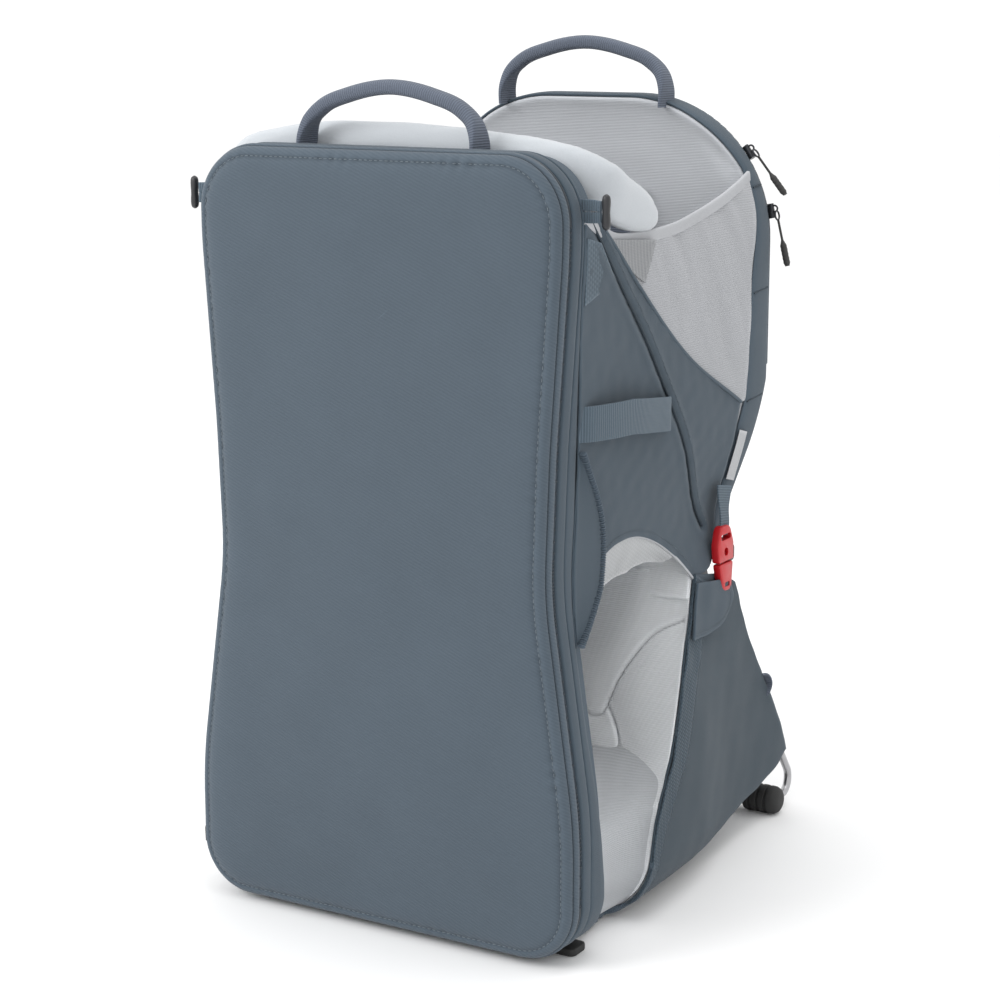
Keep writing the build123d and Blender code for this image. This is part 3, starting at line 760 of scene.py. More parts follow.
drool_pad = sweep("drool_pad_roll", at(*pad_line[:, :3].T), pad_section, PAD)
inflate(drool_pad, pressure=3.5, cap=5.0, voxel=4.5)
points = np.array([vertex.co for vertex in drool_pad.data.vertices])
x, y, z = points.T
pad_depth = (y - SEAM) / MM
crease_z = (np.interp(x / MM, [-170, -120, 0, 60, 110, 150], [586, 601, 606, 603, 597, 584])
            - 0.14 * np.maximum(pad_depth - 40, 0))
crease = hill(z / MM - crease_z, 2.0)
core = np.interp(np.abs(x), [0, 0.15, 0.17], [SEAM + 33 * MM, SEAM + 36 * MM, SEAM + 70 * MM])
points -= unit(points - np.stack([x, core, z], axis=1)) * (crease * 0.9 * MM)[:, None]
points[:, 2] += waves(points[:, 0] / MM, points[:, 1] / MM, 70, 8) * 0.7 * MM
drool_pad.data.vertices.foreach_set("co", points.astype(np.float32).ravel())
add(drool_pad, "root", "drool_pad_fabric", "drool_pad")


# ==== carry handles ====
def carry_handle(name, node_name, body, foot, top, depth):
    """Webbing arch: flat where it is sewn in, folded into a padded grip over the top."""
    rise = top - foot
    right = [(78, -6), (78, 0.2 * rise), (74, 0.45 * rise), (62, 0.68 * rise), (38, 0.87 * rise), (0, rise)]
    line = right + [(-x, z) for x, z in right[-2::-1]]
    path = curve([(x, foot + z) for x, z in line], 130)

    def section(share):
        fold = smooth((0.5 - abs(share - 0.5)) / 0.17 - 0.12)
        return superellipse(1.6 + 4.2 * fold, 13.5 - 6.6 * fold, 6 - 3.4 * fold, 24)

    strip(name, at(path[:, 0] - 5, depth, path[:, 1]), section, WEBBING, body, "webbing", node_name,
          up=(0, 1, 0))


carry_handle("front_handle_webbing", "front_handle", "root", PANEL_TOP - 3, 661.5, 5)
carry_handle("rear_handle_webbing", "rear_handle", "rear_hoop", REAR_TOP - 4, 691.5, 305)

# ==== toggles at the top corners ====
TOGGLE_Z = 576.0
for sign, side in SIDES:
    low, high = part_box(f"shade_toggle_{side}")
    bar_x = 183.0 if sign > 0 else -191.0
    bar_half = (high.z - low.z) / 2 / MM

    def bar_section(share):
        end = math.sqrt(max(0.05, 1 - (2 * share - 1) ** 8))
        return superellipse(3.1 * end, (3.0 - 0.5 * hill(share - 0.5, 0.16)) * end, 2.6, 18)

    strip(f"shade_toggle_bar_{side}", at(bar_x, 0.0, TOGGLE_Z + np.linspace(-bar_half, bar_half, 22)),
          bar_section, BLACK, f"shade_toggle_{side}", "black_plastic", f"shade_toggle_{side}", up=(1, 0, 0))
    root_x = side_x(3, TOGGLE_Z) - 1.5
    for level, height, node_name in (("lower", -4.6, None), ("upper", 4.6, "toggle_loops")):
        line = curve([(root_x, 3, TOGGLE_Z + height), (root_x + 9, 2, TOGGLE_Z + height),
                      (abs(bar_x) - 4.5, 0.5, TOGGLE_Z + height * 0.85)], 20) * (sign, 1, 1)
        strip(f"toggle_loop_{side}_{level}", at(*line.T), superellipse(1.4, 4.0, 5, 18), STRAP_WEBBING,
              "root", "webbing", node_name)

# ==== side fabric: lines of (depth, z) ====
PIPING_LINE = [(8, 573), (56, 523), (107, 472), (150, 420), (187, 372), (214, 329), (238, 297)]
MESH_EDGE = [(33, 560), (97, 509), (185, 445), (280, 397)]
ARCH = [(8, 246), (12, 252), (19, 262), (38, 289), (66, 308), (103, 313), (145, 303), (183, 282),
        (210, 258)]
REAR_SEAM = [(210, 258), (238, 262), (262, 300), (276, 374), (280, 397)]
MESH_TOP = [(36, 557), (48, 553), (90, 549), (130, 549), (165, 551), (198, 556), (250, 566), (312, 582)]
SEAM_LINE = [(float(seam_depth(z)), z) for z in np.linspace(246, 579, 40)]
MESH_REAR = [(280, 397), (292, 396), (300, 500), (312, 582)]
MESH_REACH = 292


def on_side(sign, places, lift=0.0):
    """Points on the side wall from (depth, z), lifted outwards by lift mm."""
    places = np.asarray(places, float)
    depth, z = places[..., 0], places[..., 1]
    return at(sign * (side_x(depth, z) + lift), depth, z)


def side_lift(depth, z):
    """Relief of the side fabric: the folded seam, a soft fullness and small wrinkles."""
    away = distance_to(curve(PIPING_LINE, 60), depth, z)
    return (0.4 - 1.7 * hill(away - 1.5, 2.4) + 0.9 * hill(away - 7, 4.0)
            + 1.0 * waves(depth, z, 90, 21) + 0.35 * waves(depth, z, 26, 22))


def mesh_sag(depth):
    """How far the mesh hangs in between the front frame and the rear wall."""
    return np.sin(np.clip(depth / MESH_REACH, 0, 1) * math.pi)


for sign, side in SIDES:
    places = patch(curve(ARCH, 90), curve(REAR_SEAM, 60),
                   np.vstack([[(3, 579), (18, 572), (35, 562)], curve(MESH_EDGE, 50)]), SEAM_LINE, 100, 90)
    sheet(f"upper_side_fabric_{side}", on_side(sign, places, side_lift(*places.T).T), SHELL_SIDE, 1.6,
          SIDE_CLOTH, "shell_fabric", f"upper_side_panel_{side}")

    trim = [("side_piping", PIPING_LINE, 0.6, (1.1, 1.1, 2, 10), PIPING, "shell_fabric"),
            ("mesh_edge_piping", MESH_EDGE, 1.2, (1.6, 1.2, 2, 10), SHELL_SIDE, "shell_fabric"),
            ("leg_opening_binding", ARCH[1:], -0.5, (1.1, 1.1, 2.5, 12), LIGHT_BINDING, "light_fabric")]
    for name, line, lift, section, material, slot in trim:
        strip(f"{name}_{side}", on_side(sign, curve(line, 110), lift), superellipse(*section), material,
              SIDE_CLOTH, slot, up=(sign, 0, 0))

    places = patch(curve(MESH_EDGE, 80), resample(MESH_REAR, 60), curve(MESH_TOP, 80),
                   [(33, 560), (36, 557)], 90, 60)
    depth, z = places[..., 0], places[..., 1]
    folds = (1.7 * waves(depth + 0.5 * z, 0.4 * z, 62, 31) + 0.5 * waves(depth + 0.4 * z, 0.3 * z, 24, 32)
             - 5.0 * smooth((z - 500) / 60) * mesh_sag(depth))
    sheet(f"mesh_panel_knit_{side}",
          on_side(sign, places, -0.8 + folds * smooth(distance_to(places[0], depth, z) / 30)), LIGHT_MESH,
          1.0, SIDE_CLOTH, "light_mesh", f"mesh_panel_{side}")
    top_line = curve([(4, 571)] + MESH_TOP, 120)
    strip(f"mesh_top_binding_{side}", on_side(sign, top_line, -5.0 * mesh_sag(top_line[:, 0]) + 0.5),
          superellipse(1.8, 4.8, 4, 20), LIGHT_BINDING, SIDE_CLOTH, "light_fabric")

    strap_low, strap_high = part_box(f"grab_strap_{side}")
    strap_z = (strap_low.z + strap_high.z) / 2 / MM
    depth, out = curve([(12.5, -0.5), (18, 4), (36, 10), (76, 14), (114, 11), (145, 5), (153, -1)], 70).T
    middle = np.interp(depth, [0, 70, 153], [strap_z - 1, strap_z - 2, strap_z - 12])
    strip(f"grab_strap_webbing_{side}", at(sign * (side_x(depth, strap_z) + out + 0.6), depth, middle),
          superellipse(1.2, 13.6, 8, 30), STRAP_WEBBING, "root", "webbing", f"grab_strap_{side}")

# ==== side pockets ====
POCKET_EDGE = [(13, 396), (25, 377), (41, 351), (48, 333), (51, 308), (46, 287), (32, 270), (8, 248)]
BEADS = np.abs(np.sin(np.arange(460) * math.pi / 5.0))


def gathered(share):
    swell = 2.2 + 1.2 * BEADS[int(round(share * (len(BEADS) - 1)))]
    return superellipse(0.75 * swell, swell, 2.4, 14)


for sign, side in SIDES:
    edge = curve(POCKET_EDGE, 90)
    inner = np.stack([seam_depth(edge[:, 1]) + 0.6, edge[:, 1]], axis=1)
    shares = np.linspace(0, 1, 16)[:, None]
    gather = np.sin(edge[:, 1] * math.tau / 4.0)[None] * smooth((shares - 0.6) / 0.4) * 0.5
    grid = on_side(sign, inner + (edge - inner) * shares[..., None], 1.4 + 3.2 * smooth(shares) + gather)
    sheet(f"stretch_pocket_fabric_{side}", grid, SHELL_SIDE, 1.0, "root", "shell_fabric",
          f"stretch_pocket_{side}")
    strip(f"stretch_pocket_elastic_{side}", on_side(sign, curve(POCKET_EDGE, len(BEADS)), 4.8), gathered,
          BINDING, "root", "shell_fabric", up=(sign, 0, 0))


# ==== rear wall ====
def front_depth(z):
    return np.interp(z, [257, 300, 372, 400, 500, 545, 590, 630], [268, 272, 284, 293, 300, 309, 312, 303])


def rear_depth(z):
    return np.interp(z, [257, 294, 352, 410], [285, 292, 313, 331])


def liner_depth(z, inset):
    """The lining leaves the band's front edge and passes in front of the hoop tube."""
    return np.minimum(front_depth(z), 303 + 9 * (1 - smooth((inset - 4) / 11)))


BAND_PROFILE = [(2.4, 0.0), (0.6, -0.02), (-0.4, 0.03), (-1.0, 0.3), (-1.2, 0.55), (-0.9, 0.85), (0.0, 0.97)]
BACK_PROFILE = [(1.5, 0.6), (4.0, 2.0), (8.0, 2.6), (14.0, 2.9)]
LINER_PROFILE = [(2.6, 0.2), (4.0, -0.8), (6.0, -0.4), (9.0, 1.5), (15.0, 3.6), (24.0, 5.2), (36.0, 6.4)]
REAR_MIDDLE = 455
z = REAR[:, 1]
rear_rows = [inset_ring(REAR, REAR_OUT, inset, front_depth(z) + share * (rear_depth(z) - front_depth(z)))
             for inset, share in BAND_PROFILE]
rear_rows += [inset_ring(REAR, REAR_OUT, inset, rear_depth(z) + behind) for inset, behind in BACK_PROFILE]
liner_rows = [inset_ring(REAR, REAR_OUT, inset, liner_depth(z, inset) + forward)
              for inset, forward in LINER_PROFILE]
for share, x, z in shrinking(REAR - REAR_OUT * 14.0, REAR_MIDDLE, 0.45, 30):
    fullness = 1.0 * waves(x, z, 120, 41) * smooth(share * 3)
    rear_rows.append(at(x, rear_depth(z) + 2.9 + fullness * smooth((420 - z) / 40), z))
shell("rear_shell_fabric", rear_rows, SHELL_SIDE, "rear_hoop", "shell_fabric", "rear_shell")
for share, x, z in shrinking(REAR - REAR_OUT * 36.0, REAR_MIDDLE, 0.45, 30):
    liner_rows.append(at(x, liner_depth(z, 36) + 6.4 + 2.6 * smooth(share)
                         + 0.8 * waves(x, z, 90, 43) * smooth(share * 3), z))
shell("rear_liner_fabric", liner_rows, LIGHT_BRUSHED, "rear_hoop", "light_fabric", "rear_liner")

# ==== footwell wall ====
WALL_LINE = curve([(210.4, 260.4), (160, 152), (111, 48), (90, 15)], 150)
WALL_SEAMS = [
    [(152, 40), (131, 52), (116, 75), (106, 98), (101, 115), (96, 127), (88, 128), (74, 117), (52, 96),
     (20, 80), (0, 77)],
    [(101, 117), (114, 135), (122, 153), (127, 176), (127, 200), (120, 225)]]
LEG_REAR = [(92, 14), (98, 46), (112, 90), (136, 125), (167, 178), (187, 214), (206, 253), (210, 262)]


def leg_rear(z):
    """Depth of the leg opening's rear edge."""
    return np.interp(z, [place[1] for place in LEG_REAR], [place[0] for place in LEG_REAR])


wall_down = np.concatenate([[0.0], np.cumsum(np.linalg.norm(np.diff(WALL_LINE, axis=0), axis=1))])
across = np.linspace(-1, 1, 261)[None]
line_depth, line_z = WALL_LINE[:, :1], WALL_LINE[:, 1:]
wall_edge = leg_rear(line_z)
wall_x = across * (side_x(wall_edge, line_z) - 2.4)
wall_bend = (wall_edge + 6 - line_depth) * smooth((np.abs(across) - 0.7) / 0.28)
down = np.broadcast_to(wall_down[:, None], wall_x.shape)
seams_away = [distance_to(curve(seam, 60), np.abs(wall_x), down) for seam in WALL_SEAMS]
groove, puff = (sum(hill(away, width) for away in seams_away) for width in (1.5, 14))
height = 3.6 - 2.4 * groove - 1.6 * puff + 0.8 * waves(wall_x, down, 80, 51)
wall_normal = np.abs(unit(np.stack([np.gradient(WALL_LINE[:, 1]), np.gradient(WALL_LINE[:, 0])], axis=1)))
wall_grid = at(wall_x, line_depth + wall_bend - wall_normal[:, :1] * height,
               line_z + wall_normal[:, 1:] * height)
add(thicken(surface("footwell_lining", wall_grid, LIGHT), 2.4), "rear_hoop", "light_fabric", "footwell_wall")

# ==== lower storage ====
STAND_EDGE = [(408, 57), (385, 96), (352, 142), (316, 190), (286, 240)]
STORAGE_BOTTOM = [(92, 14), (150, 16), (220, 20), (307, 32), (359, 40), (388, 48), (408, 57)]
COMB_EDGE = [(104, 15), (110, 46), (134, 90), (160, 122), (188, 165), (214, 209), (232, 250)]
STAND_CLOTH = ("rear_hoop", "kickstand", (0, 215, 130), (0, 330, 150))
FLOOR_CLOTH = ("rear_hoop", "kickstand", (0, 150, 20), (0, 350, 20))
storage_places = patch(curve(STORAGE_BOTTOM, 80), curve(STAND_EDGE, 60),
                       resample([(206, 253), (262, 249), (286, 240)], 40), curve(LEG_REAR, 60), 90, 70)
comb_places = patch([(92, 14), (104, 15)], curve(COMB_EDGE, 60), [(206, 253), (236, 250)],
                    curve(LEG_REAR, 60), 16, 90)
flap_places = patch(curve([(188, 212), (222, 210), (256, 216), (266, 224)], 40),
                    curve([(266, 224), (271, 232), (269, 240), (264, 248)], 20),
                    resample([(206, 256), (264, 248)], 40), [(188, 212), (206, 256)], 40, 24)
for sign, side in SIDES:
    depth, z = storage_places[..., 0], storage_places[..., 1]
    lift = -0.3 + 1.5 * waves(depth, z, 110, 61) + 0.5 * waves(depth, z, 30, 62)
    sheet(f"storage_side_fabric_{side}", on_side(sign, storage_places, lift), SHELL_LOWER, 1.6, STAND_CLOTH,
          "shell_fabric", f"storage_side_{side}")
    for name, places, lift, length, seed, material, thickness in (
            ("leg_opening_air_mesh", comb_places, (1.6, 0.5), 30, 63, HONEYCOMB, 1.4),
            ("buckle_flap", flap_places, (4.6, 0.7), 40, 64, SHELL_SIDE, 2.2)):
        ripple = lift[0] + lift[1] * waves(places[..., 0], places[..., 1], length, seed)
        sheet(f"{name}_{side}", on_side(sign, places, ripple), material, thickness, "rear_hoop",
              "shell_fabric")

arch_top = curve(ARCH[1:-1], 60)
hang = np.interp(arch_top[:, 0], [12, 60, 120, 185], [10, 37, 30, 5])
hang_to = np.stack([arch_top[:, 0] - 2, arch_top[:, 1] - hang], axis=1)
for sign, side in SIDES:
    shares = np.linspace(0, 1, 20)[:, None]
    places = arch_top + (hang_to - arch_top) * shares[..., None]
    ripple = 1.2 * waves(places[..., 0], places[..., 1], 34, 66) * shares
    sheet(f"leg_opening_lining_{side}", on_side(sign, places, -2.0 - 9.0 * smooth(shares) + ripple),
          MOTTLED_LIGHT, 1.0, SIDE_CLOTH, "light_fabric")

LEG_TOP, LEG_FOOT = np.array([270.0, 243.0]), np.array([434.0, 13.0])
leg_way = unit(LEG_FOOT - LEG_TOP)
u = np.linspace(-1, 1, 60)[None]
v = np.linspace(14, 218, 50)[:, None]
sag = 5.4 + 3.0 * (1 - u**2) * np.sin(np.clip(v / 230, 0, 1) * math.pi) + 0.8 * waves(150 * u, v, 70, 71)
sheet("storage_rear_fabric", at(147 * u, LEG_TOP[0] + leg_way[0] * v - leg_way[1] * sag,
                                LEG_TOP[1] + leg_way[1] * v + leg_way[0] * sag), SHELL_SIDE, 1.6,
      "kickstand", "shell_fabric", "storage_rear_panel")
depth = np.linspace(100, 372, 60)[:, None]
z = np.interp(depth, [100, 220, 307, 372], [18.5, 20.5, 35, 42]) + 0.8 * waves(150 * u, depth, 60, 72)
sheet("storage_floor_fabric", at(146 * u, depth, z), SHELL_SIDE, 1.6, FLOOR_CLOTH, "shell_fabric",
      "storage_floor")

# Beside the seat the lining goes on up, to the side fabric behind the leg opening's arch.
for sign, side in SIDES:
    u, v = np.meshgrid(np.linspace(0, 1, 30), np.linspace(0, 1, 30))
    z = 242 + 60 * v
    depth = 204 + 0.46 * (z - 250) + 4 * u * (1 - v)
    inner = 84 + 26.5 * smooth((z - 262) / 6)
    x = inner + (side_x(depth, z) - 2.6 - inner) * u
    sheet(f"footwell_ear_{side}", at(sign * x, depth - 3.0 + 0.8 * waves(x, z, 50, 54), z), LIGHT, 1.6,
          "rear_hoop", "light_fabric")

# The lining also runs in front of the frame's pivots, from the sleeve round to the footwell.
for sign, side in SIDES:
    u, v = np.meshgrid(np.linspace(0, 1, 50), np.linspace(0, 1, 50))
    z = 9 + 127 * v
    rear, fore = leg_rear(z) + 3, seam_depth(z) - 3
    pan_x = side_x(60, z) - 3.6 - 17 * np.sin(math.pi * u) ** 0.6 * smooth(z / 30)
    pan_depth = fore + (rear - fore) * u
    edge_x = side_x(rear, z) - 3.2
    on_wall_x = 96 + (edge_x - 96) * u
    wall_depth = np.interp(z, WALL_LINE[::-1, 1], WALL_LINE[::-1, 0])
    on_wall = (wall_depth - 5.5 + 4.6 * smooth((v - 0.74) / 0.26)
               + (rear + 5.5 - wall_depth) * smooth((on_wall_x / edge_x - 0.6) / 0.39))
    share = smooth((z - 66) / 62)
    grid = at(sign * (pan_x + (on_wall_x - pan_x) * share), pan_depth + (on_wall - pan_depth) * share,
              z + 0.7 * waves(pan_x, pan_depth, 40, 53))
    # This lining's colour is the pale lining painted darker, as shade.
    sheet(f"pivot_lining_{side}", grid, LIGHT_SHADED, 1.4, PIVOT_CLOTH, "light_fabric")


# ==== padded pieces ====
def upright(back, front):
    """Places a cushion's outline on (x, z), with its faces at two depths."""
    return lambda a, b, h: at(a, back + (front - back) * h, b)


WELT_PROFILE = [(2.2, 0.03), (0.8, 0.14), (0.0, 0.34), (1.0, 0.42), (0.0, 0.5), (0.8, 0.72), (2.2, 0.84)]


def cushion(name, outline, spine, place, material, pattern=None):
    """Padded form whose sides pull in to a welt; its faces close on the spine line."""
    edge, out = outline
    start, end = np.array(spine, float)
    share = np.clip(((edge - start) @ (end - start)) / ((end - start) @ (end - start)), 0, 1)[:, None]
    middle = start + share * (end - start)
    rows = []
    for s in np.linspace(0, 1, 12):
        rows.append(place(*(middle + (edge - out * 4 - middle) * s).T, 0.0))
    for inset, h in WELT_PROFILE:
        rows.append(place(*(edge - out * inset).T, h))
    for s in np.linspace(1, 0, 34):
        a, b = (middle + (edge - out * 4 - middle) * s).T
        h = 0.90 + 0.10 * (1 - s**4)
        if pattern is not None:
            h = h - pattern(a, b) * smooth((1 - s) / 0.1)
        rows.append(place(a, b, h))
    return surface(name, np.stack(rows), material, wrap=True)


def channels(a, places, width=2.6, depth=0.3):
    """Sewn channels at some places along a."""
    return sum(depth * hill(a - place, width) for place in places)


def pad(piece, body, node_name, slot):
    add(piece, body, slot, node_name)


def panel_pattern(x, z):
    return (channels(np.abs(x), (26,), 3.0, 0.45) + channels(z, (118, 214, 300, 386, 468), 3.0, 0.35)
            + 0.25 * np.exp(-(x / 15.0) ** 4))


LUMBAR = [(-82, 92), (82, 92), (93, 150), (74, 198), (-74, 198), (-93, 150)]
YOKE = [(-84, 482), (84, 482), (98, 558), (-98, 558)]
WING = [(20, 122), (66, 103), (138, 118), (138, 164), (66, 183), (20, 162)]
HARNESS_PAD = [(26, 444), (54, 444), (52, 566), (30, 566)]
SHOULDER = [(66, -17.4, 549), (72, -17.6, 480), (76, -17.4, 400), (70, -17.2, 320), (58, -17.0, 252)]
CHILD_STRAP = [(41, 299.0, 572), (41, 291.5, 562), (40, 288.2, 505), (39, 289.0, 440), (22, 290.5, 424)]
STERNUM = [(-91, -24.4, 429), (-40, -24.6, 428), (0, -24.6, 427.5), (40, -24.6, 428), (91, -24.4, 429)]


def strap_section(share):
    return superellipse((25 - 6 * smooth((share - 0.55) / 0.4)) * (1 - 0.4 * share**12), 4.4, 3.4, 40)


pad(cushion("back_panel_padding", (FRONT - FRONT_OUT * 4.2, FRONT_OUT), ((0, 150), (0, 480)),
            upright(-1.3, -7.7), FOAM, panel_pattern), "root", "back_panel", "harness_foam")
pad(cushion("lumbar_pad_cushion", rounded(LUMBAR, [24, 24, 40, 26, 26, 40], 240), ((-45, 146), (45, 146)),
            upright(-8.6, -14.8), FOAM, lambda x, z: channels(np.abs(x), (34,)) + channels(z, (146,))),
    "root", "lumbar_pad", "harness_foam")
pad(cushion("torso_yoke_pad", rounded(YOKE, [18] * 4, 240), ((-55, 520), (55, 520)), upright(-8.6, -11.8),
            FOAM, lambda x, z: channels(np.abs(x), (22, 66))), "torso_yoke", "torso_yoke",
    "harness_foam")
for sign, side in SIDES:
    first = sign > 0
    wing = [(sign * x, z) for x, z in WING][::sign]
    pad(cushion(f"hip_belt_wing_{side}", rounded(wing, [8, 40, 14, 14, 40, 8], 240),
                ((sign * 45, 142), (sign * 112, 142)), upright(-15.6, -23.0), FOAM,
                lambda x, z: channels(z, (142,), 9.0, 0.25) + channels(np.abs(x), (96,), 2.4)),
        "root", "hip_belt" if first else None, "harness_foam")
    strip(f"hip_belt_webbing_{side}", at(sign * np.linspace(136, 14, 40), -23.6, 142),
          superellipse(12.0, 0.9, 8, 24), WEBBING, "root", "webbing", up=(0, 1, 0))

    x, depth, z = (curve(SHOULDER, 110) * (sign, 1, 1)).T
    pad(sweep(f"shoulder_strap_padding_{side}", at(x, depth, z), strap_section, FOAM, up=(0, 1, 0)),
        "torso_yoke", f"shoulder_strap_{side}", "harness_foam")
    strip(f"shoulder_strap_webbing_{side}", at(x, depth - 5.0, z), superellipse(11, 0.8, 8, 20), WEBBING,
          "torso_yoke", "webbing", up=(0, 1, 0))

    harness = rounded([(sign * x, z) for x, z in HARNESS_PAD][::sign], [11] * 4, 200)
    pad(cushion(f"child_harness_pad_{side}", harness, ((sign * 40, 462), (sign * 41, 548)),
                upright(297.3, 289.6), LIGHT_BRUSHED, lambda x, z: channels(z, (484, 526), 2.2, 0.2)),
        "rear_hoop", "child_harness_straps" if first else None, "light_fabric")
    strip(f"child_harness_webbing_{side}", at(*(curve(CHILD_STRAP, 80) * (sign, 1, 1)).T),
          superellipse(9.5, 0.8, 8, 20), WEBBING, "rear_hoop", "webbing", up=(0, 1, 0))
strip("sternum_strap_webbing", at(*curve(STERNUM, 60).T), superellipse(9.6, 0.8, 8, 20), WEBBING,
      "torso_yoke", "webbing", "sternum_strap", up=(0, 1, 0))

SEAT_Z, SEAT_HEIGHT = 262.6, 25.5
for name, corners, radius, count, spine, node_name in (
        ("child_seat_cushion", [(-108, 151), (108, 151), (109, 264), (-109, 264)], 30, 240,
         ((-62, 207), (62, 207)), "child_seat"),
        ("child_seat_nose", [(-42, 23), (42, 23), (42, 162), (-42, 162)], 18, 200,
         ((0, 62), (0, 122)), None)):
    piece = cushion(name, rounded(corners, [radius] * 4, count), spine,
                    lambda a, b, h: at(a, b, SEAT_Z + SEAT_HEIGHT * h), LIGHT_BRUSHED)
    inflate(piece, pressure=4.0, cap=3.0, voxel=4.5)
    pad(piece, "child_seat", node_name, "light_fabric")
    at(0, 20, 270)
    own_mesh(piece)

# ==== rear pocket ====
above = np.where(REAR[:, 1] >= 420)[0]
arch_points, arch_out = REAR[above], REAR_OUT[above]
POCKET_PROFILE = [(6.5, 334.2), (5.0, 334.6), (4.2, 336.4), (4.0, 339.5), (4.8, 342.4), (7.0, 344.2),
                  (9.0, 344.6), (10.4, 344.0), (12.0, 344.9), (18.0, 346.0), (26.0, 346.6)]
POCKET_FLAT = (0.38, 0.28)


def rear_arch(inset, depth):
    return inset_ring(arch_points, arch_out, inset, depth)


pocket_rows = [rear_arch(inset, depth) for inset, depth in POCKET_PROFILE]
for share, x, z in shrinking(arch_points - arch_out * 26, 420, 0.5, 26):
    pocket_rows.append(at(x, 346.6 + (1.6 * share + 0.9 * waves(x, z, 110, 81) * smooth(3 * share)), z))
grid = np.stack(pocket_rows)
rear_pocket = thicken(surface("rear_pocket_fabric", grid, SHELL_SIDE), 1.6, -1)
min(flat_cut(grid)[1], POCKET_FLAT[0] * POCKET_FLAT[1])
add(rear_pocket, "rear_hoop", "shell_fabric", "rear_pocket_panel")
strip("rear_pocket_hem", at(np.linspace(-153, 153, 90), 339.5, 421), superellipse(6.5, 1.4, 5, 20),
      BINDING, "rear_hoop", "shell_fabric")
strip("rear_zip_tape", rear_arch(4.5, 332.6), superellipse(1.1, 3.6, 6, 16), ZIP_TAPE, "rear_hoop",
      "zip_tape", "rear_pocket_zip", up=(0, 1, 0))
add(stitches("rear_zip_teeth", rear_arch(1.6, 332.6),
             np.stack([arch_out[:, 0], 0 * arch_out[:, 0], arch_out[:, 1]], axis=1),
             ZIP_TEETH, pitch=1.9, length=1.3, width=2.6), "rear_hoop", "zip_tape")

# ==== zip sliders and pulls ====
ARC_X, ARC_Z = REAR_HALF - 120.0, REAR_TOP - 120.0
ZIP_DEPTH = 335.0
SLIDER_RUN = np.linspace(-6.2, 6.2, 26)
PULL_RUN = np.linspace(0, 1, 40)


def ring_at(name, centre, one, other, radius, wire):
    """Closed round wire about a centre, in the plane of two directions."""
    turn = np.linspace(0, math.tau, 36, endpoint=False)[:, None]
    round_it = np.cos(turn) * np.asarray(one) + np.sin(turn) * np.asarray(other)
    return sweep(name, np.asarray(centre) + round_it * radius * MM, superellipse(wire, wire, 2, 10),
                 ZIP_METAL, up=np.cross(one, other), loop=True)


def pull_section(share):
    flare = smooth((share - 0.42) / 0.16) * (1 - 0.5 * smooth((share - 0.93) / 0.07))
    return superellipse(1.1 + 2.6 * flare + 0.4 * flare * math.sin(share * 70), 0.9 + 1.3 * flare, 2.8, 18)


for level, angle in (("upper", 36.9), ("lower", 11.5)):
    c, n = math.cos(math.radians(angle)), math.sin(math.radians(angle))
    outward, along = np.array([c, 0.0, n]), np.array([-n, 0.0, c])

    def zip_place(radial, tangent):
        """A point on the zip's arc, from how far out and how far along it is."""
        radial, tangent = np.broadcast_arrays(radial, tangent)
        return at(ARC_X, ZIP_DEPTH, ARC_Z) + (outward * radial[..., None] + along * tangent[..., None]) * MM

    slider_body, pull_body = f"rear_zip_slider_{level}", f"rear_zip_pull_{level}"
    strip(f"rear_zip_slider_body_{level}", zip_place(121.4, SLIDER_RUN),
          lambda share: superellipse(3.2 - 1.1 * smooth(share), 2.6, 3.2, 22), ZIP_METAL, slider_body,
          "zip_metal", slider_body, up=outward)
    add(ring_at(f"rear_zip_slider_bridge_{level}", zip_place(124.6, 1.5), outward, along, 2.6, 0.8),
        slider_body, "zip_metal")
    add(ring_at(f"rear_zip_pull_ring_{level}", zip_place(126.0, -4.5), along, (0, 1, 0), 3.8, 0.8),
        pull_body, "pull_rubber")
    strip(f"rear_zip_pull_grip_{level}", zip_place(126.2 + 1.8 * PULL_RUN, -8 - 40 * PULL_RUN),
          pull_section, RUBBER, pull_body, "pull_rubber", pull_body, up=outward)

slider_low, slider_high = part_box("cover_zip_slider")
edge_x, slider_depth, slider_z = slider_low.x / MM + 3.0, -15.0, slider_high.z / MM - 6.0
strip("cover_zip_slider_body", at(edge_x + 1.2, slider_depth, slider_z + SLIDER_RUN),
      lambda share: superellipse(3.4 - 1.1 * smooth(share), 2.2, 3.2, 22), ZIP_METAL, "cover_zip_slider",
      "zip_metal", "cover_zip_slider", up=(1, 0, 0))
add(ring_at("cover_zip_slider_bridge", at(edge_x - 1.6, slider_depth, slider_z + 1), (1, 0, 0), (0, 0, 1),
            2.4, 0.8), "cover_zip_slider", "zip_metal")
grip_line = curve([(edge_x - 2.6, slider_depth, slider_z - 3), (edge_x - 3.4, slider_depth, slider_z - 16),
                   (edge_x - 3.0, slider_depth, slider_z - 30)], 36)


def tab_section(share):
    flare = smooth((share - 0.4) / 0.2)
    return superellipse(1.2 + 2.4 * flare, 0.9 + 0.7 * flare, 3, 18)


strip("cover_zip_pull_tab", at(*grip_line.T), tab_section, RUBBER, "cover_zip_slider", "zip_metal",
      up=(1, 0, 0))


# ==== buckles ====
PLATE_PROFILE = [(1.4, 0.0), (0.4, 0.08), (0.0, 0.25), (0.0, 0.75), (0.4, 0.92), (1.4, 1.0)]


def box_corners(low, high):
    return [(low[0], low[1]), (high[0], low[1]), (high[0], high[1]), (low[0], high[1])]


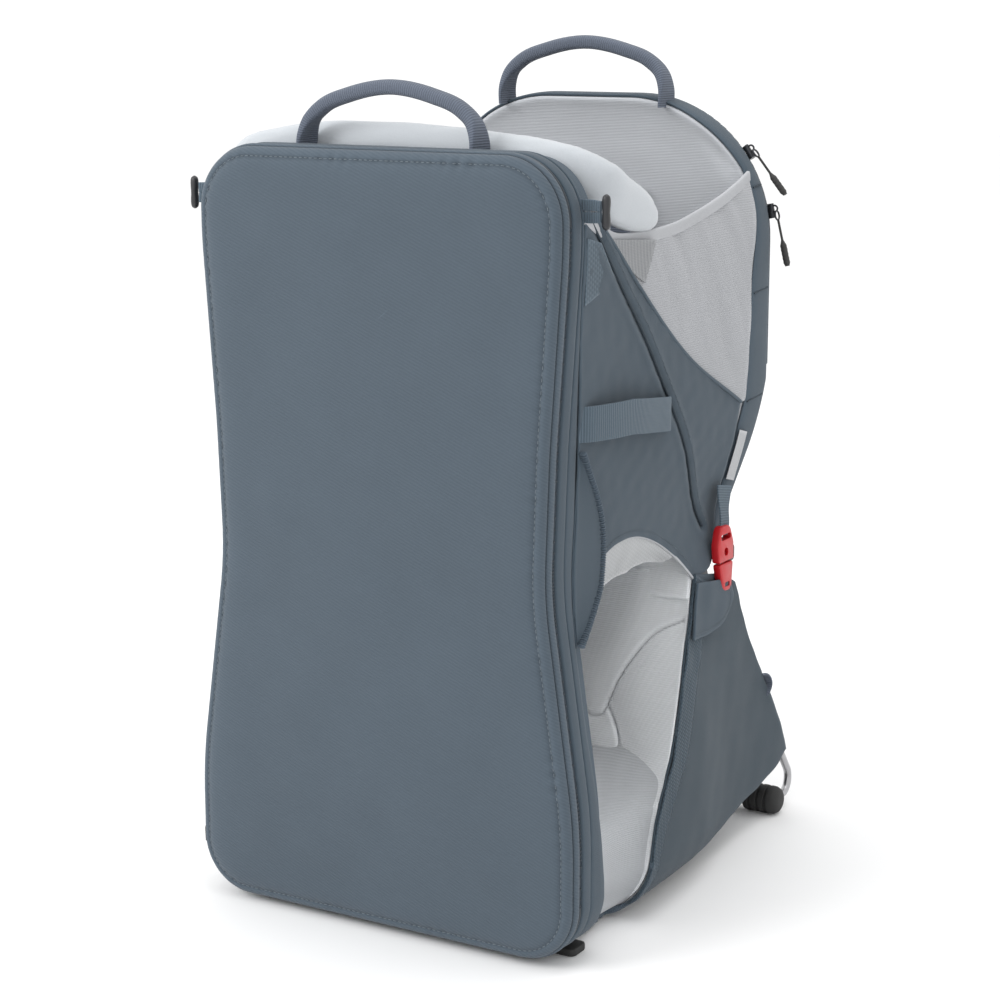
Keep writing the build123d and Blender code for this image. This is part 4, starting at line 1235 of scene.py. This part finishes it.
def plate(name, corners, radii, place, material, holes=()):
    """Moulded plate with rounded edges and real slots: place(a, b, h) with h 0 to 1 through it.

    Each hole is its low corner, its high corner and its corner radius.
    """
    edge, out = rounded(corners, radii, 120)
    rings = [place(*(edge - out * inset).T, h) for inset, h in PLATE_PROFILE]
    piece = surface(name, np.stack(rings), material, wrap=True, ends=True)
    for low, high, radius in holes:
        cut, _ = rounded(box_corners(low, high), [radius] * 4, 60)
        cutter = surface(f"{name}_cutter", np.stack([place(*cut.T, h) for h in (-0.6, 1.6)]), material,
                         wrap=True, ends=True)
        modifier = piece.modifiers.new("slot", "BOOLEAN")
        modifier.operation = "DIFFERENCE"
        modifier.object = cutter
        applied(piece)
        bpy.data.objects.remove(cutter)
    piece.data.set_sharp_from_angle(angle=math.radians(40))
    return piece


SOCKET = [(247, 239), (263, 239), (268, 263.6), (242, 263.6)]
TONGUE = [(241, 264.8), (269, 264.8), (270, 280), (264, 296), (246, 296), (240, 280)]
for sign, side in SIDES:
    low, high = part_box(f"side_buckle_socket_{side}")
    inner = min(abs(low.x), abs(high.x)) / MM

    def on_buckle(a, b, h):
        return at(sign * (inner + 0.3 + 7.4 * h), a - 0.10 * (b - 264.0), b)

    tongue_body = f"side_buckle_tongue_{side}"
    add(plate(f"side_buckle_socket_body_{side}", SOCKET, [6, 6, 2, 2], on_buckle, RED,
              [((250.5, 243), (259.5, 247), 1.5)]), "rear_hoop", "red_plastic", f"side_buckle_socket_{side}")
    add(plate(f"side_buckle_tongue_body_{side}", TONGUE, [2, 2, 6, 8, 8, 6], on_buckle, RED,
              [((246, 284), (264, 289), 2), ((251, 270), (258, 277), 3)]), tongue_body, "red_plastic",
        tongue_body)
    add(plate(f"side_buckle_ladder_{side}", box_corners((262, 262), (276, 276)), [4] * 4,
              lambda a, b, h: at(sign * (inner + 1 + 4.0 * h), a, b), BLACK, [((266, 266), (272, 269), 1)]),
        tongue_body, "black_plastic")
    web = curve([(inner + 0.5, 262, 328), (inner + 1.8, 259, 312), (inner + 3.8, 257, 298),
                 (inner + 3.8, 256, 287)], 30) * (sign, 1, 1)
    strip(f"side_buckle_webbing_{side}", at(*web.T),
          lambda share: superellipse(13 - 5 * smooth(share / 0.6), 0.9, 8, 20), STRAP_WEBBING,
          tongue_body, "webbing", up=(sign, 0, 0))


def on_child(a, b, h):
    return at(a, 297.0 - 10.0 * h, b)


add(plate("child_buckle_socket_body", [(-16, 393), (16, 393), (20, 427.6), (-20, 427.6)], [6, 6, 3, 3],
          on_child, BLACK, [((-11, 396), (11, 400), 1.5)]), "rear_hoop", "black_plastic",
    "child_buckle_socket")
add(plate("child_buckle_tongue_body",
          [(-19, 428.6), (19, 428.6), (22, 438), (12, 444), (-12, 444), (-22, 438)], [2, 2, 4, 4, 4, 4],
          on_child, RED, [((-15, 434), (-6, 438), 1.5), ((6, 434), (15, 438), 1.5)]),
    "child_buckle_tongue", "red_plastic", "child_buckle_tongue")
add(plate("hip_buckle_body", [(-16, 126), (16, 126), (20, 142), (16, 158), (-16, 158), (-20, 142)],
          [6, 6, 8, 6, 6, 8], lambda a, b, h: at(a, -16.6 - 9.6 * h, b), BLACK,
          [((-14, 133), (-10, 151), 1.5), ((10, 133), (14, 151), 1.5)]), "root", "black_plastic",
    "hip_buckle")
add(plate("sternum_buckle_body", [(-13, 419), (13, 419), (16, 428), (13, 437), (-13, 437), (-16, 428)],
          [4, 4, 6, 4, 4, 6], lambda a, b, h: at(a, -23.2 - 4.2 * h, b), BLACK),
    "torso_yoke", "black_plastic")

# ==== feet ====
TREAD, GROOVE = 12.9, 11.6
FOOT_PROFILE = [(112.2, 0.5), (112.4, 6.6), (113.6, 7.8), (122.0, 8.0), (123.4, 9.6), (124.6, 12.0)]
for start, end in ((127.0, 129.5), (132.9, 137.0), (140.4, 144.6)):
    FOOT_PROFILE += [(start, TREAD), (end, TREAD), (end + 0.7, GROOVE), (end + 2.7, GROOVE)]
FOOT_PROFILE += [(148.0, TREAD), (152.0, 12.6), (155.6, 11.0), (157.4, 8.4), (157.9, 5.0), (158.0, 0.5)]
for sign, side in SIDES:
    first = sign > 0
    add(lathe_x(f"kickstand_foot_{side}", [(sign * x, radius) for x, radius in FOOT_PROFILE], 388.0, 13.0,
                RUBBER), "kickstand", "foot_rubber", "kickstand_feet" if first else None)
    sole = [(sign * x, depth) for x, depth in box_corners((130, 2), (159, 24))][::sign]
    add(plate(f"front_foot_sole_{side}", sole, [5] * 4, lambda a, b, h: at(a, b, 0.1 + 6.4 * h), RUBBER),
        "root", "foot_rubber", "front_feet" if first else None)

# ==== small pieces on the side fabric ====
PATCHES = [
    ("corner_patch", [(7, 506), (52, 521), (27, 551), (6, 556)], 1.5, MOTTLED_BLUE, SIDE_CLOTH,
     "shell_fabric"),
    ("coarse_mesh_window", [(80, 524), (102, 514), (118, 546), (45, 552)], 1.0, COARSE_MESH, SIDE_CLOTH,
     "light_mesh"),
    ("blank_label", [(274, 331), (290, 327), (296, 369), (281, 373)], 3.0, LABEL, "rear_hoop",
     "light_fabric")]
PATCH_POINTS = 24
for name, (a, b, c, d), lift, material, body, slot in PATCHES:
    edges = [resample(edge, PATCH_POINTS) for edge in ([a, b], [b, c], [d, c], [a, d])]
    for sign, side in SIDES:
        places = patch(*edges, PATCH_POINTS, PATCH_POINTS)
        sheet(f"{name}_{side}", on_side(sign, places, lift), material, 0.6, body, slot)

SEWN_ROWS = [
    ("flap_stitching", [(192, 216), (222, 214), (255, 220), (263, 228), (262, 244)], 6.4, "rear_hoop"),
    ("air_mesh_stitching", COMB_EDGE, 2.6, "rear_hoop"),
    ("arch_stitching", [(22, 266), (40, 294), (67, 313), (103, 318), (147, 308), (186, 287), (212, 264)],
     1.6, SIDE_CLOTH),
    ("seam_stitching", [(16, 573), (60, 529), (112, 477), (155, 425), (192, 376), (219, 333), (243, 300)],
     2.4, SIDE_CLOTH)]


def lumpy_section(share):
    return superellipse(2.6 + 0.5 * math.sin(share * 60), 1.8 + 0.4 * math.sin(share * 47), 2.4, 14)


for sign, side in SIDES:
    for name, line, lift, body in SEWN_ROWS:
        add(stitches(f"{name}_{side}", on_side(sign, curve(line, 200), lift), (sign, 0, 0), SEAM_THREAD,
                     pitch=3.6, length=2.4, width=0.6), body, "shell_fabric")
    for z in (396, 486, 572):
        depth = np.linspace(front_depth(z) + 1, rear_depth(z) - 4, 24)
        strip(f"rear_band_seam_{z}_{side}",
              at(sign * (half_width(REAR, z) + 0.9), depth, z + 0.1 * (depth - 300)),
              superellipse(0.7, 0.7, 2, 8), PIPING, "rear_hoop", "shell_fabric")
    strip(f"leg_opening_corner_binding_{side}",
          on_side(sign, curve([(34, 8), (60, 7), (92, 10), (99, 24), (101, 50)], 60), 0.6), lumpy_section,
          BINDING, PIVOT_CLOTH, "shell_fabric", up=(sign, 0, 0))

EDGE_LOOP = [(150, 352, 140), (152, 360, 138), (153, 364, 131), (152, 362, 124), (150, 358, 121)]
for sign, side in SIDES:
    strip(f"storage_edge_loop_{side}", at(*(curve(EDGE_LOOP, 30) * (sign, 1, 1)).T),
          superellipse(4.5, 0.9, 6, 18), WEBBING, "kickstand", "webbing", up=(0, 1, 0.4))

# ==== CAD parts that keep their shape ====
CAD_FINISH = {
    ALUMINIUM: ["front_frame_tube", "frame_crossbar_upper", "frame_crossbar_lower", "rear_hoop_tube"],
    STEEL: ["kickstand_rod"],
    BLACK: ["pivot_brackets", "hoop_end_fittings", "elbow_brackets", "seat_rail"],
    ZIP_METAL: ["frame_pivot_pins"],
}
for material, names in CAD_FINISH.items():
    for name in names:
        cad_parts[name].data.materials.clear()
        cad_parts[name].data.materials.append(material)
